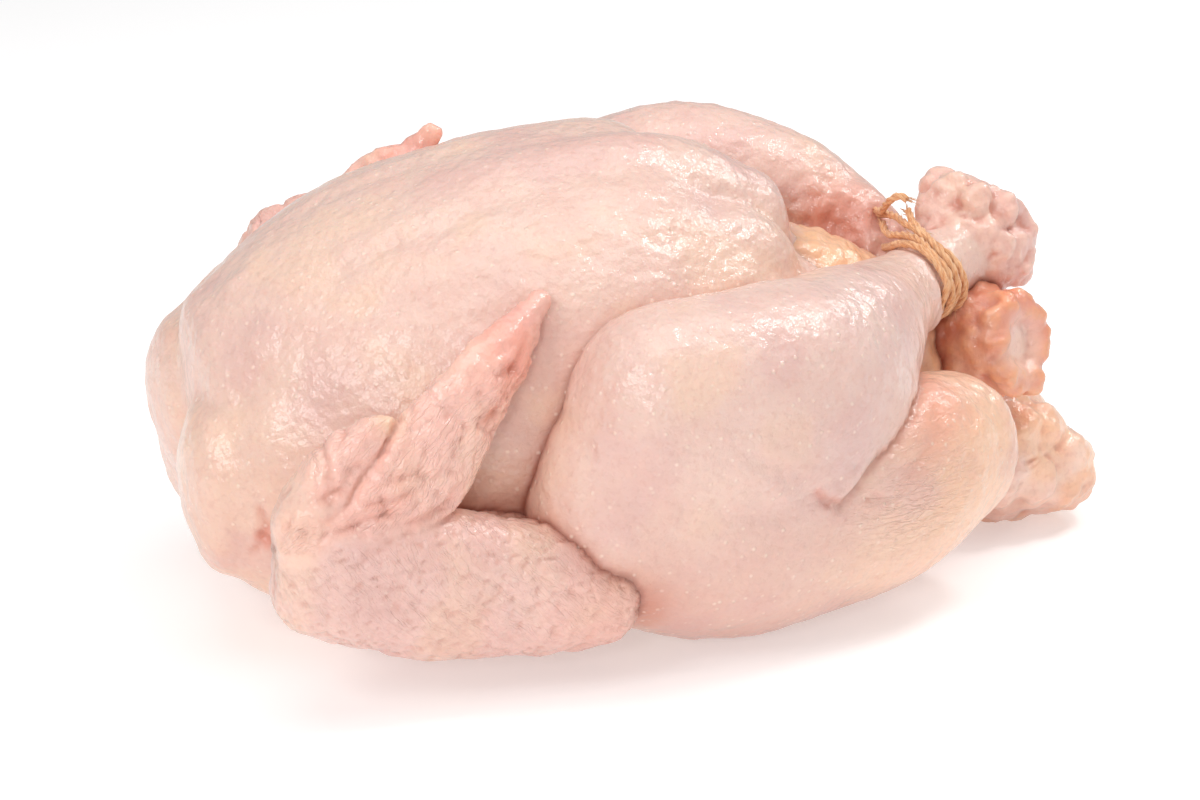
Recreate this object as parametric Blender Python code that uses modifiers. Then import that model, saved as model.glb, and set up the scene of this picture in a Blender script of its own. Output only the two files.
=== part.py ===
"""A whole raw chicken lying on its back, its crossed hocks tied with kitchen twine.

The bird is drawn in its own frame, in units of UNIT metres. In that frame x runs from the neck
end to the tail, v runs across from the midplane (positive on the bird's left), and w runs up the
midplane from the table. The bird leans over on its right side by LEAN. The world frame is in
metres, with +Z up, +X towards the tail and the table at Z = 0.
"""

import math

import bmesh
import bpy
import numpy as np
from mathutils import Matrix, Vector

UNIT = 0.0009
LEAN = math.radians(10.6)
MIDPLANE_FOOT = 10.8
BODY_SHIFT = -13.93
RIGHT, LEFT = -1.0, 1.0

SKIN_VOXEL = 2.0
SKIN_SHARE = 0.056
RIGHT_HOCK = (118.5, 12.0, 85.5)
LEFT_HOCK = (116.5, -15.0, 64.0)
RIGHT_HOCK_AIM = (0.8, 0.45, 0.1)
LEFT_HOCK_AIM = (0.9, -0.35, -0.1)
RIGHT_HOCK_SIZE = 17.0
LEFT_HOCK_SIZE = 15.5
JOINT_FACE_RADIUS = 11.0
JOINT_FACE_REACH = 26.0

TWINE_RADIUS = 1.1
TWINE_GROOVE_GAP = 0.44
TWINE_BITE = 0.2
TWINE_PITCH = 3.4
TWINE_TURNS = 3
TWINE_POINTS = 36
TWINE_TILT = 0.42
TWINE_FOOT = (95.5, 80.0)
TWINE_START = math.radians(75.0)
TWINE_CURL = 5.0


def clear_scene():
    """Removes whatever the scene holds."""
    for obj in list(bpy.data.objects):
        bpy.data.objects.remove(obj, do_unlink=True)


def world(point):
    """The world position, in metres, of a point (x, v, w) of the bird's own frame."""
    x, v, w = point
    y = MIDPLANE_FOOT + v * math.cos(LEAN) - w * math.sin(LEAN)
    z = v * math.sin(LEAN) + w * math.cos(LEAN)
    return Vector((x + BODY_SHIFT, y, z)) * UNIT


def through(stations, count):
    """Stations resampled to count rows along a smooth curve through them all, by arc length."""
    rows = np.array(stations, float)
    chord = np.linalg.norm(np.diff(rows[:, :3], axis=0), axis=1)
    at = np.concatenate([[0.0], np.cumsum(np.maximum(chord, 1e-6))])
    slope = np.gradient(rows, at, axis=0)
    places = np.linspace(0.0, at[-1], count)
    span = np.clip(np.searchsorted(at, places, side="right") - 1, 0, len(at) - 2)
    width = (at[span + 1] - at[span])[:, None]
    t = (places - at[span])[:, None] / width
    start = (1 + 2 * t) * (1 - t) ** 2 * rows[span] + t * (1 - t) ** 2 * width * slope[span]
    end = t * t * (3 - 2 * t) * rows[span + 1] - t * t * (1 - t) * width * slope[span + 1]
    return start + end


def loft(bm, stations, dome=(1.0, 1.0), power=2.0, normal=(0.0, 1.0, 0.0), rings=22, sides=28):
    """Adds a closed tube with rounded ends. A station is x, v, w, half_high, half_thick.

    The section's thickness lies along normal and its height across both that and the spine.
    power is the section's superellipse exponent, and dome scales each rounded end.
    """
    rows = through(stations, rings)
    spine = rows[:, :3]
    tangent = np.gradient(spine, axis=0)
    tangent /= np.linalg.norm(tangent, axis=1)[:, None]
    high = np.cross(tangent, np.array(normal, float))
    high /= np.linalg.norm(high, axis=1)[:, None]
    thick = np.cross(high, tangent)
    angles = np.linspace(0.0, 2 * math.pi, sides, endpoint=False)
    along_high = np.sign(np.sin(angles)) * np.abs(np.sin(angles)) ** (2 / power)
    along_thick = np.sign(np.cos(angles)) * np.abs(np.cos(angles)) ** (2 / power)

    def ring(i, shift, share):
        centre = spine[i] + tangent[i] * shift
        across = np.outer(along_high, high[i]) * rows[i, 3] + np.outer(along_thick, thick[i]) * rows[i, 4]
        return [bm.verts.new(world(centre + a * share)) for a in across]

    cap_steps = 5
    reach = [dome[0] * rows[0, 3:5].mean(), dome[1] * rows[-1, 3:5].mean()]
    loops = []
    for k in range(cap_steps - 1, 0, -1):
        turn = k / cap_steps * math.pi / 2
        loops.append(ring(0, -reach[0] * math.sin(turn), math.cos(turn)))
    loops += [ring(i, 0.0, 1.0) for i in range(rings)]
    for k in range(1, cap_steps):
        turn = k / cap_steps * math.pi / 2
        loops.append(ring(rings - 1, reach[1] * math.sin(turn), math.cos(turn)))
    first = bm.verts.new(world(spine[0] - tangent[0] * reach[0]))
    last = bm.verts.new(world(spine[-1] + tangent[-1] * reach[1]))
    for a, b in zip(loops, loops[1:]):
        for j in range(sides):
            k = (j + 1) % sides
            bm.faces.new((a[j], a[k], b[k], b[j]))
    for j in range(sides):
        k = (j + 1) % sides
        bm.faces.new((first, loops[0][k], loops[0][j]))
        bm.faces.new((last, loops[-1][j], loops[-1][k]))


def blob(bm, centre, radii):
    """Adds an ellipsoid with its radii along x, v and w."""
    across = Vector((0.0, math.cos(LEAN), math.sin(LEAN)))
    upward = Vector((0.0, -math.sin(LEAN), math.cos(LEAN)))
    axes = Matrix((Vector((1, 0, 0)) * radii[0], across * radii[1], upward * radii[2])).transposed()
    place = Matrix.Translation(world(centre)) @ (axes * UNIT).to_4x4()
    bmesh.ops.create_icosphere(bm, subdivisions=3, radius=1.0, matrix=place)


def mirrored(stations, side):
    """Stations written for the bird's left side, on the side asked for."""
    return [(x, side * v, w, *rest) for x, v, w, *rest in stations]


def add_torso(bm):
    """The back and ribs, down to the rump."""
    back = [
        (-98, 0, 42, 32, 44),
        (-76, 0, 44, 42, 54),
        (-40, 0, 44, 46, 60),
        (0, 0, 44, 46, 62),
        (40, 0, 42, 44, 58),
        (76, 0, 38, 38, 48),
        (100, -2, 32, 28, 34),
    ]
    loft(bm, back, dome=(0.5, 0.5), power=2.3)


def add_breast(bm):
    """The broad breast with its keel, and the two lobes it parts into at the neck end."""
    breast = [
        (-102, 0, 53, 41, 41),
        (-84, 0, 58, 49, 57),
        (-60, 0, 63, 56, 66),
        (-36, 0, 67, 59.5, 69),
        (-12, 0, 70, 61, 68),
        (12, 0, 71, 61, 65),
        (32, 0, 74, 54, 58),
        (47, 0, 78, 45, 49),
        (58, 0, 81, 34, 38),
    ]
    loft(bm, breast, dome=(0.35, 0.32), power=2.12)
    lobe = [
        (-113, 23, 50, 26, 24),
        (-100, 24, 51, 36, 31),
        (-82, 24, 54, 41, 37),
        (-60, 24, 58, 50, 43),
        (-30, 22, 64, 55, 45),
    ]
    for side in (RIGHT, LEFT):
        loft(bm, mirrored(lobe, side), dome=(0.5, 0.5), power=2.2)
    keel = [
        (-96, 0, 84, 19, 16),
        (-60, 0, 99, 21.5, 20),
        (-20, 0, 107, 24.5, 22),
        (14, 0, 108.5, 24.5, 22),
        (40, 0, 101, 19, 18),
    ]
    loft(bm, keel, dome=(0.7, 0.7))


def add_neck_skin(bm):
    """The neck skin folded under between the lobes and bunched below the left one."""
    flap = [(-96, 0, 30, 20, 24), (-108, 0, 24, 13, 20)]
    loft(bm, flap, dome=(0.6, 0.6), rings=6)
    blob(bm, (-104, 30, 34), (18, 22, 28))


def add_tail(bm):
    """The rump and the stubby tail, which leans to the bird's right."""
    tail = [
        (100, -4, 33, 25, 30),
        (117, -9, 27, 21.5, 23),
        (131, -14, 22, 18.5, 18.5),
        (143, -17, 18, 12.5, 13.5),
    ]
    loft(bm, tail, dome=(0.8, 0.8))


def add_belly_fat(bm):
    """The fatty flap that closes the belly behind the breast."""
    flap = [(56, 0, 72, 24, 26), (74, 0, 66, 24, 24), (92, 0, 52, 22, 22), (104, 0, 38, 16, 18)]
    loft(bm, flap, dome=(0.6, 0.5))


def add_right_thigh(bm):
    """The thigh nearest the table's edge."""
    thigh = [
        (-14, -70, 62, 36, 25),
        (16, -70, 54, 38, 26),
        (46, -64, 52, 35, 26),
        (74, -57, 52, 30, 24),
        (94, -49, 51, 22.5, 19),
    ]
    loft(bm, thigh, dome=(0.85, 0.62), power=2.2)


def add_right_drumstick(bm):
    """The drumstick whose shank crosses over the other one."""
    drumstick = [
        (-4, -69, 78, 38, 27),
        (22, -67, 80, 37.5, 28),
        (43, -59, 83, 33.5, 27),
        (59, -45, 87, 24.5, 21.5),
        (74, -30, 88, 15.5, 15),
        (87, -18, 87, 12, 12),
        (98, -7, 86.5, 11.5, 11.5),
        (112, 7, 86.5, 14, 14),
    ]
    loft(bm, drumstick, dome=(0.85, 0.6), power=2.1, rings=34)


def add_right_knee(bm):
    """The rounded knee that joins the right thigh and drumstick under one skin."""
    blob(bm, (-4, -70, 68), (34, 26, 34))


def add_left_thigh(bm):
    """The other thigh, which lies a little lower."""
    thigh = [
        (-14, 68, 54, 36, 25),
        (16, 70, 45, 40, 27),
        (48, 67, 43, 38, 27),
        (76, 59, 42, 32, 25),
        (97, 50, 42, 25, 20),
    ]
    loft(bm, thigh, dome=(0.85, 0.62), power=2.2)


def add_left_drumstick(bm):
    """The drumstick whose shank passes under the other one."""
    drumstick = [
        (-2, 63, 62, 36, 26),
        (26, 62, 71, 35, 27),
        (50, 57, 79, 32, 26),
        (68, 47, 83, 24, 21),
        (82, 34, 83, 16.5, 15),
        (93, 20, 79, 12, 12),
        (101, 9, 71.5, 10.5, 10.5),
        (108, -2, 66, 10.5, 10.5),
        (114, -11, 64.5, 12, 12),
    ]
    loft(bm, drumstick, dome=(0.85, 0.6), power=2.1, rings=34)


def add_hock(bm, centre, direction, size, lean):
    """The knobbly joint at a drumstick's end, with knuckles round its cut face."""
    centre, axis = Vector(centre), Vector(direction).normalized()
    side = axis.cross(Vector((0, 0, 1))).normalized()
    up = side.cross(axis)
    blob(bm, centre, (size * 1.1, size, size * 1.04))
    knuckles = 7
    for k in range(knuckles):
        turn = 2 * math.pi * k / knuckles + lean
        spoke = side * math.cos(turn) + up * math.sin(turn)
        bump = size * (0.43 + 0.09 * math.sin(2.3 * k + 2 * lean))
        ahead = size * (0.4 + 0.3 * math.sin(1.7 * k + lean))
        blob(bm, centre + axis * ahead + spoke * size * 0.74, (bump, bump, bump))


def add_wing(bm, side, elbow, wrist, tip, thumb, bow):
    """One folded wing: upper arm, forearm, hand and thumb."""
    out = (0.0, 1.0, 0.0)
    e, w, t, b = (np.array(p, float) for p in (elbow, wrist, tip, thumb))
    upper_arm = [(-82, 54, 44, 22, 16), (*(e + (-6, -8, 4)), 14, 11)]
    loft(bm, mirrored(upper_arm, side), normal=out, rings=10)
    forearm = [
        (*e, 13, 11),
        (*(e * 0.74 + w * 0.26 + (0, 0, -2)), 17.5, 12.5),
        (*(e * 0.44 + w * 0.56 + (0, 0, -4)), 21, 14),
        (*(w + (1, 0, -3)), 21, 13.5),
    ]
    loft(bm, mirrored(forearm, side), normal=out, power=2.2, dome=(0.9, 0.72))
    bulge = np.array((0.0, bow, 0.0))
    hand = [
        (*(w + (2, 0, 2)), 19, 12),
        (*(w * 0.7 + t * 0.3 + bulge * 0.8), 16.5, 9),
        (*(w * 0.46 + t * 0.54 + bulge), 12.5, 7.5),
        (*(w * 0.2 + t * 0.8 + bulge * 0.6), 8.5, 6),
        (*t, 2.4, 2.4),
    ]
    loft(bm, mirrored(hand, side), normal=out, dome=(0.8, 1.2))
    root = w * 0.82 + t * 0.18 + (-8, 0, 6)
    digit = [(*root, 9, 8), (*(root * 0.45 + b * 0.55), 6, 5.5), (*b, 1.8, 1.8)]
    loft(bm, mirrored(digit, side), normal=out, rings=8, sides=16)


def chicken_mesh():
    """Every part of the bird as overlapping closed shells in one mesh."""
    bm = bmesh.new()
    add_torso(bm)
    add_breast(bm)
    add_neck_skin(bm)
    add_belly_fat(bm)
    add_tail(bm)
    add_right_thigh(bm)
    add_right_drumstick(bm)
    add_right_knee(bm)
    add_left_thigh(bm)
    add_left_drumstick(bm)
    add_hock(bm, RIGHT_HOCK, RIGHT_HOCK_AIM, RIGHT_HOCK_SIZE, 0.4)
    add_hock(bm, LEFT_HOCK, LEFT_HOCK_AIM, LEFT_HOCK_SIZE, 1.3)
    add_wing(bm, RIGHT, (-25, 85, 40), (-99.5, 80, 62), (-35, 50, 114), (-80, 68, 91), 11)
    add_wing(bm, LEFT, (-26, 80, 28), (-79, 66, 64), (-39, 49, 115), (-66, 64, 88), -2)
    bmesh.ops.recalc_face_normals(bm, faces=bm.faces)
    mesh = bpy.data.meshes.new("chicken")
    bm.to_mesh(mesh)
    bm.free()
    return mesh


def hull(points):
    """The convex outline round flat points, counter-clockwise."""
    ordered = sorted(set(map(tuple, points)))

    def half(row):
        out = []
        for p in row:
            while len(out) > 1:
                a, b = out[-2], out[-1]
                if (b[0] - a[0]) * (p[1] - a[1]) > (b[1] - a[1]) * (p[0] - a[0]):
                    break
                out.pop()
            out.append(p)
        return out[:-1]

    return np.array(half(ordered) + half(ordered[::-1]))


def evenly(points, count):
    """A polyline resampled to count points by length."""
    at = np.concatenate([[0.0], np.cumsum(np.linalg.norm(np.diff(points, axis=0), axis=1))])
    places = np.linspace(0.0, at[-1], count)
    return np.stack([np.interp(places, at, column) for column in points.T], axis=1)


def winding(shanks, foot, count):
    """One turn of twine drawn tight round both shanks, in the leaning plane through foot."""
    along = Vector((1.0, 0.0, TWINE_TILT)).normalized()
    rise = Vector((-TWINE_TILT, 0.0, 1.0)).normalized()
    origin = world((foot[0], 0.0, foot[1]))
    upward = world((foot[0], 0.0, foot[1]) + np.array(rise)) - origin
    normal = world((foot[0], 0.0, foot[1]) + np.array(along)) - origin
    across = world((foot[0], 1.0, foot[1])) - origin
    upward.normalize()
    normal.normalize()
    across.normalize()
    cut = shanks.copy()
    geometry = cut.verts[:] + cut.edges[:] + cut.faces[:]
    section = bmesh.ops.bisect_plane(cut, geom=geometry, plane_co=origin, plane_no=normal)["geom_cut"]
    rim = [v.co - origin for v in section if isinstance(v, bmesh.types.BMVert)]
    reach = (TWINE_RADIUS - TWINE_BITE) * UNIT
    turns = np.linspace(0.0, 2 * math.pi, 16, endpoint=False)
    flat = []
    for p in rim:
        for a in turns:
            flat.append((p.dot(across) + reach * math.cos(a), p.dot(upward) + reach * math.sin(a)))
    cut.free()
    outline = hull(flat)
    outline = evenly(np.vstack([outline, outline[:1]]), 20 * count)
    bearing = np.unwrap(np.arctan2(outline[:, 1], outline[:, 0]))
    wanted = TWINE_START - np.linspace(0.0, 2 * math.pi, count, endpoint=False)
    wanted = (wanted - bearing[0]) % (2 * math.pi) + bearing[0]
    outline = np.stack([np.interp(wanted, bearing, column) for column in outline.T], axis=1)
    for _ in range(2):
        outline = (outline + 0.5 * (np.roll(outline, 1, axis=0) + np.roll(outline, -1, axis=0))) / 2
    return [np.array(origin + across * u + upward * t) for u, t in outline]


def curl():
    """The twine's upper free end: a small hook that rises off the shanks, from its tip down."""
    hook = []
    for k in range(9):
        turn = math.radians(40 + 17 * k)
        hook.append((TWINE_CURL * math.cos(turn), TWINE_CURL * math.sin(turn)))
    return hook


def twine_path():
    """The line of the twine: a curled end, the turns round the shanks, and a short free end."""
    shanks = bmesh.new()
    add_right_drumstick(shanks)
    add_left_drumstick(shanks)
    feet = [(TWINE_FOOT[0] + TWINE_PITCH * k, TWINE_FOOT[1]) for k in range(TWINE_TURNS + 1)]
    loops = [winding(shanks, foot, TWINE_POINTS) for foot in feet]
    shanks.free()
    path = []
    for k in range(TWINE_TURNS):
        for i in range(TWINE_POINTS):
            share = i / TWINE_POINTS
            path.append(loops[k][i] * (1 - share) + loops[k + 1][i] * share)
    start = path[0]
    sideways = np.array(world((1, 0, 0)) - world((0, 0, 0))) / UNIT
    upward = np.array(world((0, 0, 1)) - world((0, 0, 0))) / UNIT
    hook = curl()
    end = np.array(hook[-1])
    rise = []
    for u, t in hook:
        offset = np.array((u, t)) - end
        rise.append(start + (sideways * offset[0] + upward * (offset[1] + 5.0)) * UNIT)
    return rise + path


def tube(name, path, radius):
    """A round cord of the given radius along a path, with closed ends, as a mesh."""
    curve = bpy.data.curves.new(name, "CURVE")
    curve.dimensions = "3D"
    curve.bevel_depth = radius * UNIT
    curve.bevel_resolution = 2
    curve.use_fill_caps = True
    spline = curve.splines.new("POLY")
    spline.points.add(len(path) - 1)
    for point, at in zip(spline.points, path):
        point.co = (*at, 1.0)
    swept = bpy.data.objects.new(name + " sweep", curve)
    bpy.context.scene.collection.objects.link(swept)
    depsgraph = bpy.context.evaluated_depsgraph_get()
    mesh = bpy.data.meshes.new_from_object(swept.evaluated_get(depsgraph))
    bpy.data.objects.remove(swept, do_unlink=True)
    return bpy.data.objects.new(name, closed(mesh))


def closed(mesh):
    """The mesh with its doubled end rims welded and every face turned outward."""
    bm = bmesh.new()
    bm.from_mesh(mesh)
    bmesh.ops.remove_doubles(bm, verts=bm.verts, dist=0.00001)
    bmesh.ops.recalc_face_normals(bm, faces=bm.faces)
    bm.to_mesh(mesh)
    bm.free()
    return mesh


def ball(name, centre, radius):
    """A round cutter at a point of the bird's frame."""
    bm = bmesh.new()
    blob(bm, centre, (radius, radius, radius))
    mesh = bpy.data.meshes.new(name)
    bm.to_mesh(mesh)
    bm.free()
    return bpy.data.objects.new(name, mesh)


def table_block():
    """A block below Z = 0 that gives the bird its flat underside."""
    bm = bmesh.new()
    place = Matrix.Translation((0.0, 0.0, -0.02)) @ Matrix.Diagonal((0.4, 0.3, 0.04, 1.0))
    bmesh.ops.create_cube(bm, size=1.0, matrix=place)
    mesh = bpy.data.meshes.new("table block")
    bm.to_mesh(mesh)
    bm.free()
    return bpy.data.objects.new("table block", mesh)


def cut(target, cutter, name):
    """Takes the cutter's space out of the target."""
    modifier = target.modifiers.new(name, "BOOLEAN")
    modifier.operation = "DIFFERENCE"
    modifier.solver = "EXACT"
    modifier.use_self = True
    modifier.object = cutter


def material(name, colour, roughness):
    """A plain surface colour."""
    made = bpy.data.materials.new(name)
    made.use_nodes = True
    shader = made.node_tree.nodes["Principled BSDF"]
    shader.inputs["Base Color"].default_value = (*colour, 1.0)
    shader.inputs["Roughness"].default_value = roughness
    return made


def main():
    clear_scene()
    parts = bpy.data.collections.new("whole raw chicken")
    cutters = bpy.data.collections.new("cutters")
    bpy.context.scene.collection.children.link(parts)
    bpy.context.scene.collection.children.link(cutters)
    path = twine_path()

    chicken = bpy.data.objects.new("chicken", chicken_mesh())
    parts.objects.link(chicken)
    chicken.data.shade_smooth()
    chicken.data.materials.append(material("raw_skin", (0.86, 0.6, 0.5), 0.45))
    remesh = chicken.modifiers.new("one skin", "REMESH")
    remesh.mode = "VOXEL"
    remesh.voxel_size = SKIN_VOXEL * UNIT
    remesh.use_smooth_shade = True
    soften = chicken.modifiers.new("soften", "SMOOTH")
    soften.factor = 0.5
    soften.iterations = 4
    thin = chicken.modifiers.new("fewer faces", "DECIMATE")
    thin.ratio = SKIN_SHARE

    joint_face = Vector(LEFT_HOCK) + Vector(LEFT_HOCK_AIM).normalized() * JOINT_FACE_REACH
    joint_cutter = ball("joint face cutter", joint_face, JOINT_FACE_RADIUS)
    groove_cutter = tube("twine groove cutter", path, TWINE_RADIUS + TWINE_GROOVE_GAP)
    table_cutter = table_block()
    for cutter in (joint_cutter, groove_cutter, table_cutter):
        cutters.objects.link(cutter)
        cutter.hide_render = True
        cutter.display_type = "WIRE"
    cut(chicken, table_cutter, "flat underside")
    cut(chicken, joint_cutter, "hollow joint face")
    cut(chicken, groove_cutter, "twine bites in")

    twine = tube("twine", path, TWINE_RADIUS)
    twine.data.materials.append(material("cotton_twine", (0.8, 0.5, 0.28), 0.9))
    parts.objects.link(twine)


main()
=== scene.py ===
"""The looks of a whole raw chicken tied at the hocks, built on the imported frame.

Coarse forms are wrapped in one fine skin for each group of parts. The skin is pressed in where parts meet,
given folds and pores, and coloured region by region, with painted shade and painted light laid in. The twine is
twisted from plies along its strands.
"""

import math

import bpy
import numpy as np
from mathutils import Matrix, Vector
from mathutils.bvhtree import BVHTree
from mathutils.kdtree import KDTree


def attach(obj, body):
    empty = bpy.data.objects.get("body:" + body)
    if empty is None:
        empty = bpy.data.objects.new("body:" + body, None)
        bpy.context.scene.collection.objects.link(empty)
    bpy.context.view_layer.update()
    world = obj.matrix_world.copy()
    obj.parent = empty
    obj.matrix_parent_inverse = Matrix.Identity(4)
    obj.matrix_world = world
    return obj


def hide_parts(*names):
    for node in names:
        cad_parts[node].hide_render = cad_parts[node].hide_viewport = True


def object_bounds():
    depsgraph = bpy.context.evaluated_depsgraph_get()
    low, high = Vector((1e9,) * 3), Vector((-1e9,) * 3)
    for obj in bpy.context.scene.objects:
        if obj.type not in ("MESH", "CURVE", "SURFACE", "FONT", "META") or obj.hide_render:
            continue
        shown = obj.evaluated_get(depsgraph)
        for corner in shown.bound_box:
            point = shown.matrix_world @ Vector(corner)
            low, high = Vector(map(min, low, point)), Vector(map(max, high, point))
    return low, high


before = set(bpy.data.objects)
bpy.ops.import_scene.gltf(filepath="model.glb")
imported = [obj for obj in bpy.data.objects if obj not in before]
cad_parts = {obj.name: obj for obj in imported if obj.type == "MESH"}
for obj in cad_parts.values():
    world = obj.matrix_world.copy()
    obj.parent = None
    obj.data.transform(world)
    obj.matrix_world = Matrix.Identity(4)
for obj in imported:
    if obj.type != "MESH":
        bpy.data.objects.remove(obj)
CAD_LOW, CAD_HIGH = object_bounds()

# The bird's own frame: x from neck to tail, v across (positive on its left), w up its midplane.
# Its unit is about 0.9 mm, and every length below is in it unless a comment says otherwise.
BOX_LENGTH = 279.09
CORNER_TO_ORIGIN = np.array([125.51, 109.94, 0.0])
LEAN = math.radians(10.6)
UNIT = (CAD_HIGH.x - CAD_LOW.x) / BOX_LENGTH
SHIFT = np.array(CAD_LOW) / UNIT + CORNER_TO_ORIGIN
TO_WORLD = np.array([[1, 0, 0],
                     [0, math.cos(LEAN), math.sin(LEAN)],
                     [0, -math.sin(LEAN), math.cos(LEAN)]])
VOXEL = 1.12


def to_world(points):
    """Points of the bird's frame as world metres."""
    return (np.asarray(points, float) @ TO_WORLD + SHIFT) * UNIT


def to_bird(points):
    """World metres as points of the bird's frame."""
    return (np.asarray(points, float) / UNIT - SHIFT) @ TO_WORLD.T


# ---------------------------------------------------------------- noise

def lattice(cell, seed):
    """A fixed random number from -1 to 1 for each whole-number cell."""
    x, y, z = np.moveaxis(cell.astype(np.int64), -1, 0)
    h = (x * 374761393 + y * 668265263 + z * 2147483629 + seed * 974711) & 0xFFFFFFFF
    h = ((h ^ (h >> 13)) * 1274126177) & 0xFFFFFFFF
    h = ((h ^ (h >> 15)) * 2246822519) & 0xFFFFFFFF
    return (h ^ (h >> 16)) / 2147483647.5 - 1.0


def noise(points, size, seed=0):
    """Smooth noise from -1 to 1 with features about size wide. size may differ along each axis."""
    p = points / np.asarray(size, float)
    base = np.floor(p)
    f = p - base
    f = f * f * f * (f * (f * 6 - 15) + 10)
    corner_share = (1 - f, f)
    total = 0.0
    for i, j, k in np.ndindex(2, 2, 2):
        weight = corner_share[i][:, 0] * corner_share[j][:, 1] * corner_share[k][:, 2]
        total = total + weight * lattice(base + (i, j, k), seed)
    return total


def layered(points, size, seed=0, layers=3):
    """Noise with finer layers added."""
    size = np.asarray(size, float)
    total = sum(noise(points, size / 2 ** k, seed + 17 * k) / 2 ** k for k in range(layers))
    return total / 1.4


def pebbles(points, size, seed=0):
    """Distance to the nearest of scattered points, about 0 at a pebble's top and 1 between pebbles."""
    p = points / size
    base = np.floor(p)
    best = np.full(len(p), 9.0)
    for i, j, k in np.ndindex(3, 3, 3):
        cell = base + (i - 1, j - 1, k - 1)
        jitter = np.stack([lattice(cell, seed + n) for n in (1, 2, 3)], axis=1) * 0.42 + 0.5
        best = np.minimum(best, ((cell + jitter - p) ** 2).sum(axis=1))
    return np.sqrt(best)


def smoothstep(x, low, high):
    """0 below low and 1 above high, smooth between them."""
    t = np.clip((x - low) / (high - low), 0, 1)
    return t * t * (3 - 2 * t)


# ---------------------------------------------------------------- coarse forms

class Form:
    """One closed shell with its label and the spine that its skin follows."""

    def __init__(self, label, verts, faces, spine=None, high=None, outward=None, radius=None):
        self.label, self.verts, self.faces = label, verts, faces
        self.spine, self.high, self.outward, self.radius = spine, high, outward, radius


def through(stations, count=None, step=None):
    """Rows on a smooth curve through stations, evenly spaced: count of them, or about step apart."""
    rows = np.array(stations, float)
    chord = np.linalg.norm(np.diff(rows[:, :3], axis=0), axis=1)
    at = np.concatenate([[0.0], np.cumsum(chord)])
    slope = np.gradient(rows, at, axis=0)
    places = np.linspace(0.0, at[-1], count or max(int(at[-1] / step), 4))
    span = np.clip(np.searchsorted(at, places, side="right") - 1, 0, len(at) - 2)
    width = (at[span + 1] - at[span])[:, None]
    t = (places - at[span])[:, None] / width
    start = (1 + 2 * t) * (1 - t) ** 2 * rows[span] + t * (1 - t) ** 2 * width * slope[span]
    end = t * t * (3 - 2 * t) * rows[span + 1] - t * t * (1 - t) * width * slope[span + 1]
    return start + end


def tube_faces(rings, sides, base=0):
    """Faces of a tube of rings, whose two end points come after its last ring."""
    faces = []
    for ring in range(rings - 1):
        low, high = base + ring * sides, base + (ring + 1) * sides
        for j in range(sides):
            k = (j + 1) % sides
            faces.append((low + j, low + k, high + k, high + j))
    first, last = base + rings * sides, base + rings * sides + 1
    for j in range(sides):
        k = (j + 1) % sides
        faces.append((first, base + k, base + j))
        faces.append((last, first - sides + j, first - sides + k))
    return faces


DOME_STEPS = 7


def loft(label, stations, dome=(1.0, 1.0), power=2.0, normal=(0.0, 1.0, 0.0), rings=30, sides=36, side=1):
    """A closed tube with rounded ends through stations of x, v, w, half_high, half_thick.

    dome is each end's roundness, a power over 2 squares the section, and side is -1 on the bird's right.
    """
    rows = through(stations, rings)
    spine = rows[:, :3]
    tangent = np.gradient(spine, axis=0)
    tangent /= np.linalg.norm(tangent, axis=1)[:, None]
    high = np.cross(tangent, np.array(normal, float))
    high /= np.linalg.norm(high, axis=1)[:, None]
    thick = np.cross(high, tangent)
    angles = np.linspace(0.0, 2 * math.pi, sides, endpoint=False)
    along_high = np.sign(np.sin(angles)) * np.abs(np.sin(angles)) ** (2 / power)
    along_thick = np.sign(np.cos(angles)) * np.abs(np.cos(angles)) ** (2 / power)
    reach = [dome[0] * rows[0, 3:5].mean(), dome[1] * rows[-1, 3:5].mean()]
    loops = []

    def ring(i, shift, share):
        across = np.outer(along_high, high[i]) * rows[i, 3] + np.outer(along_thick, thick[i]) * rows[i, 4]
        loops.append(spine[i] + tangent[i] * shift + across * share)

    for k in range(DOME_STEPS - 1, 0, -1):
        turn = k / DOME_STEPS * math.pi / 2
        ring(0, -reach[0] * math.sin(turn), math.cos(turn))
    for i in range(rings):
        ring(i, 0.0, 1.0)
    for k in range(1, DOME_STEPS):
        turn = k / DOME_STEPS * math.pi / 2
        ring(rings - 1, reach[1] * math.sin(turn), math.cos(turn))
    ends = [spine[0] - tangent[0] * reach[0], spine[-1] + tangent[-1] * reach[1]]
    verts = np.concatenate(loops + [np.array(ends)])
    faces = tube_faces(len(loops), sides)
    return Form(label, verts, faces, spine, high, thick * side, rows[:, 3:5].mean(axis=1))


BLOB_ROWS, BLOB_COLUMNS = 14, 24


def blob(label, centre, radii):
    """A ball stretched along x, v and w."""
    turns = np.linspace(0, 2 * math.pi, BLOB_COLUMNS, endpoint=False)
    lifts = np.linspace(-math.pi / 2, math.pi / 2, BLOB_ROWS + 1)[1:-1]
    turn, lift = np.meshgrid(turns, lifts)
    unit = np.stack([np.cos(lift) * np.cos(turn), np.cos(lift) * np.sin(turn), np.sin(lift)], axis=-1)
    verts = np.concatenate([unit.reshape(-1, 3), [[0, 0, -1], [0, 0, 1]]]) * np.array(radii, float)
    return Form(label, verts + np.array(centre, float), tube_faces(BLOB_ROWS - 1, BLOB_COLUMNS))


def knobs(label, spots):
    """Round balls, each given as its centre and radius."""
    return [blob(label, centre, (radius, radius, radius)) for centre, radius in spots]


def mirrored(stations, side):
    """Stations with v measured outwards, put on the left for a side of 1 and on the right for -1."""
    return [(x, side * v, w, *rest) for x, v, w, *rest in stations]


LABELS = ["body", "fat", "tail", "r_thigh", "l_thigh", "r_leg", "l_leg", "r_hock", "l_hock",
          "r_arm", "r_hand", "r_thumb", "l_arm", "l_hand", "l_thumb"]
NUMBER = {name: i for i, name in enumerate(LABELS)}
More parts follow.
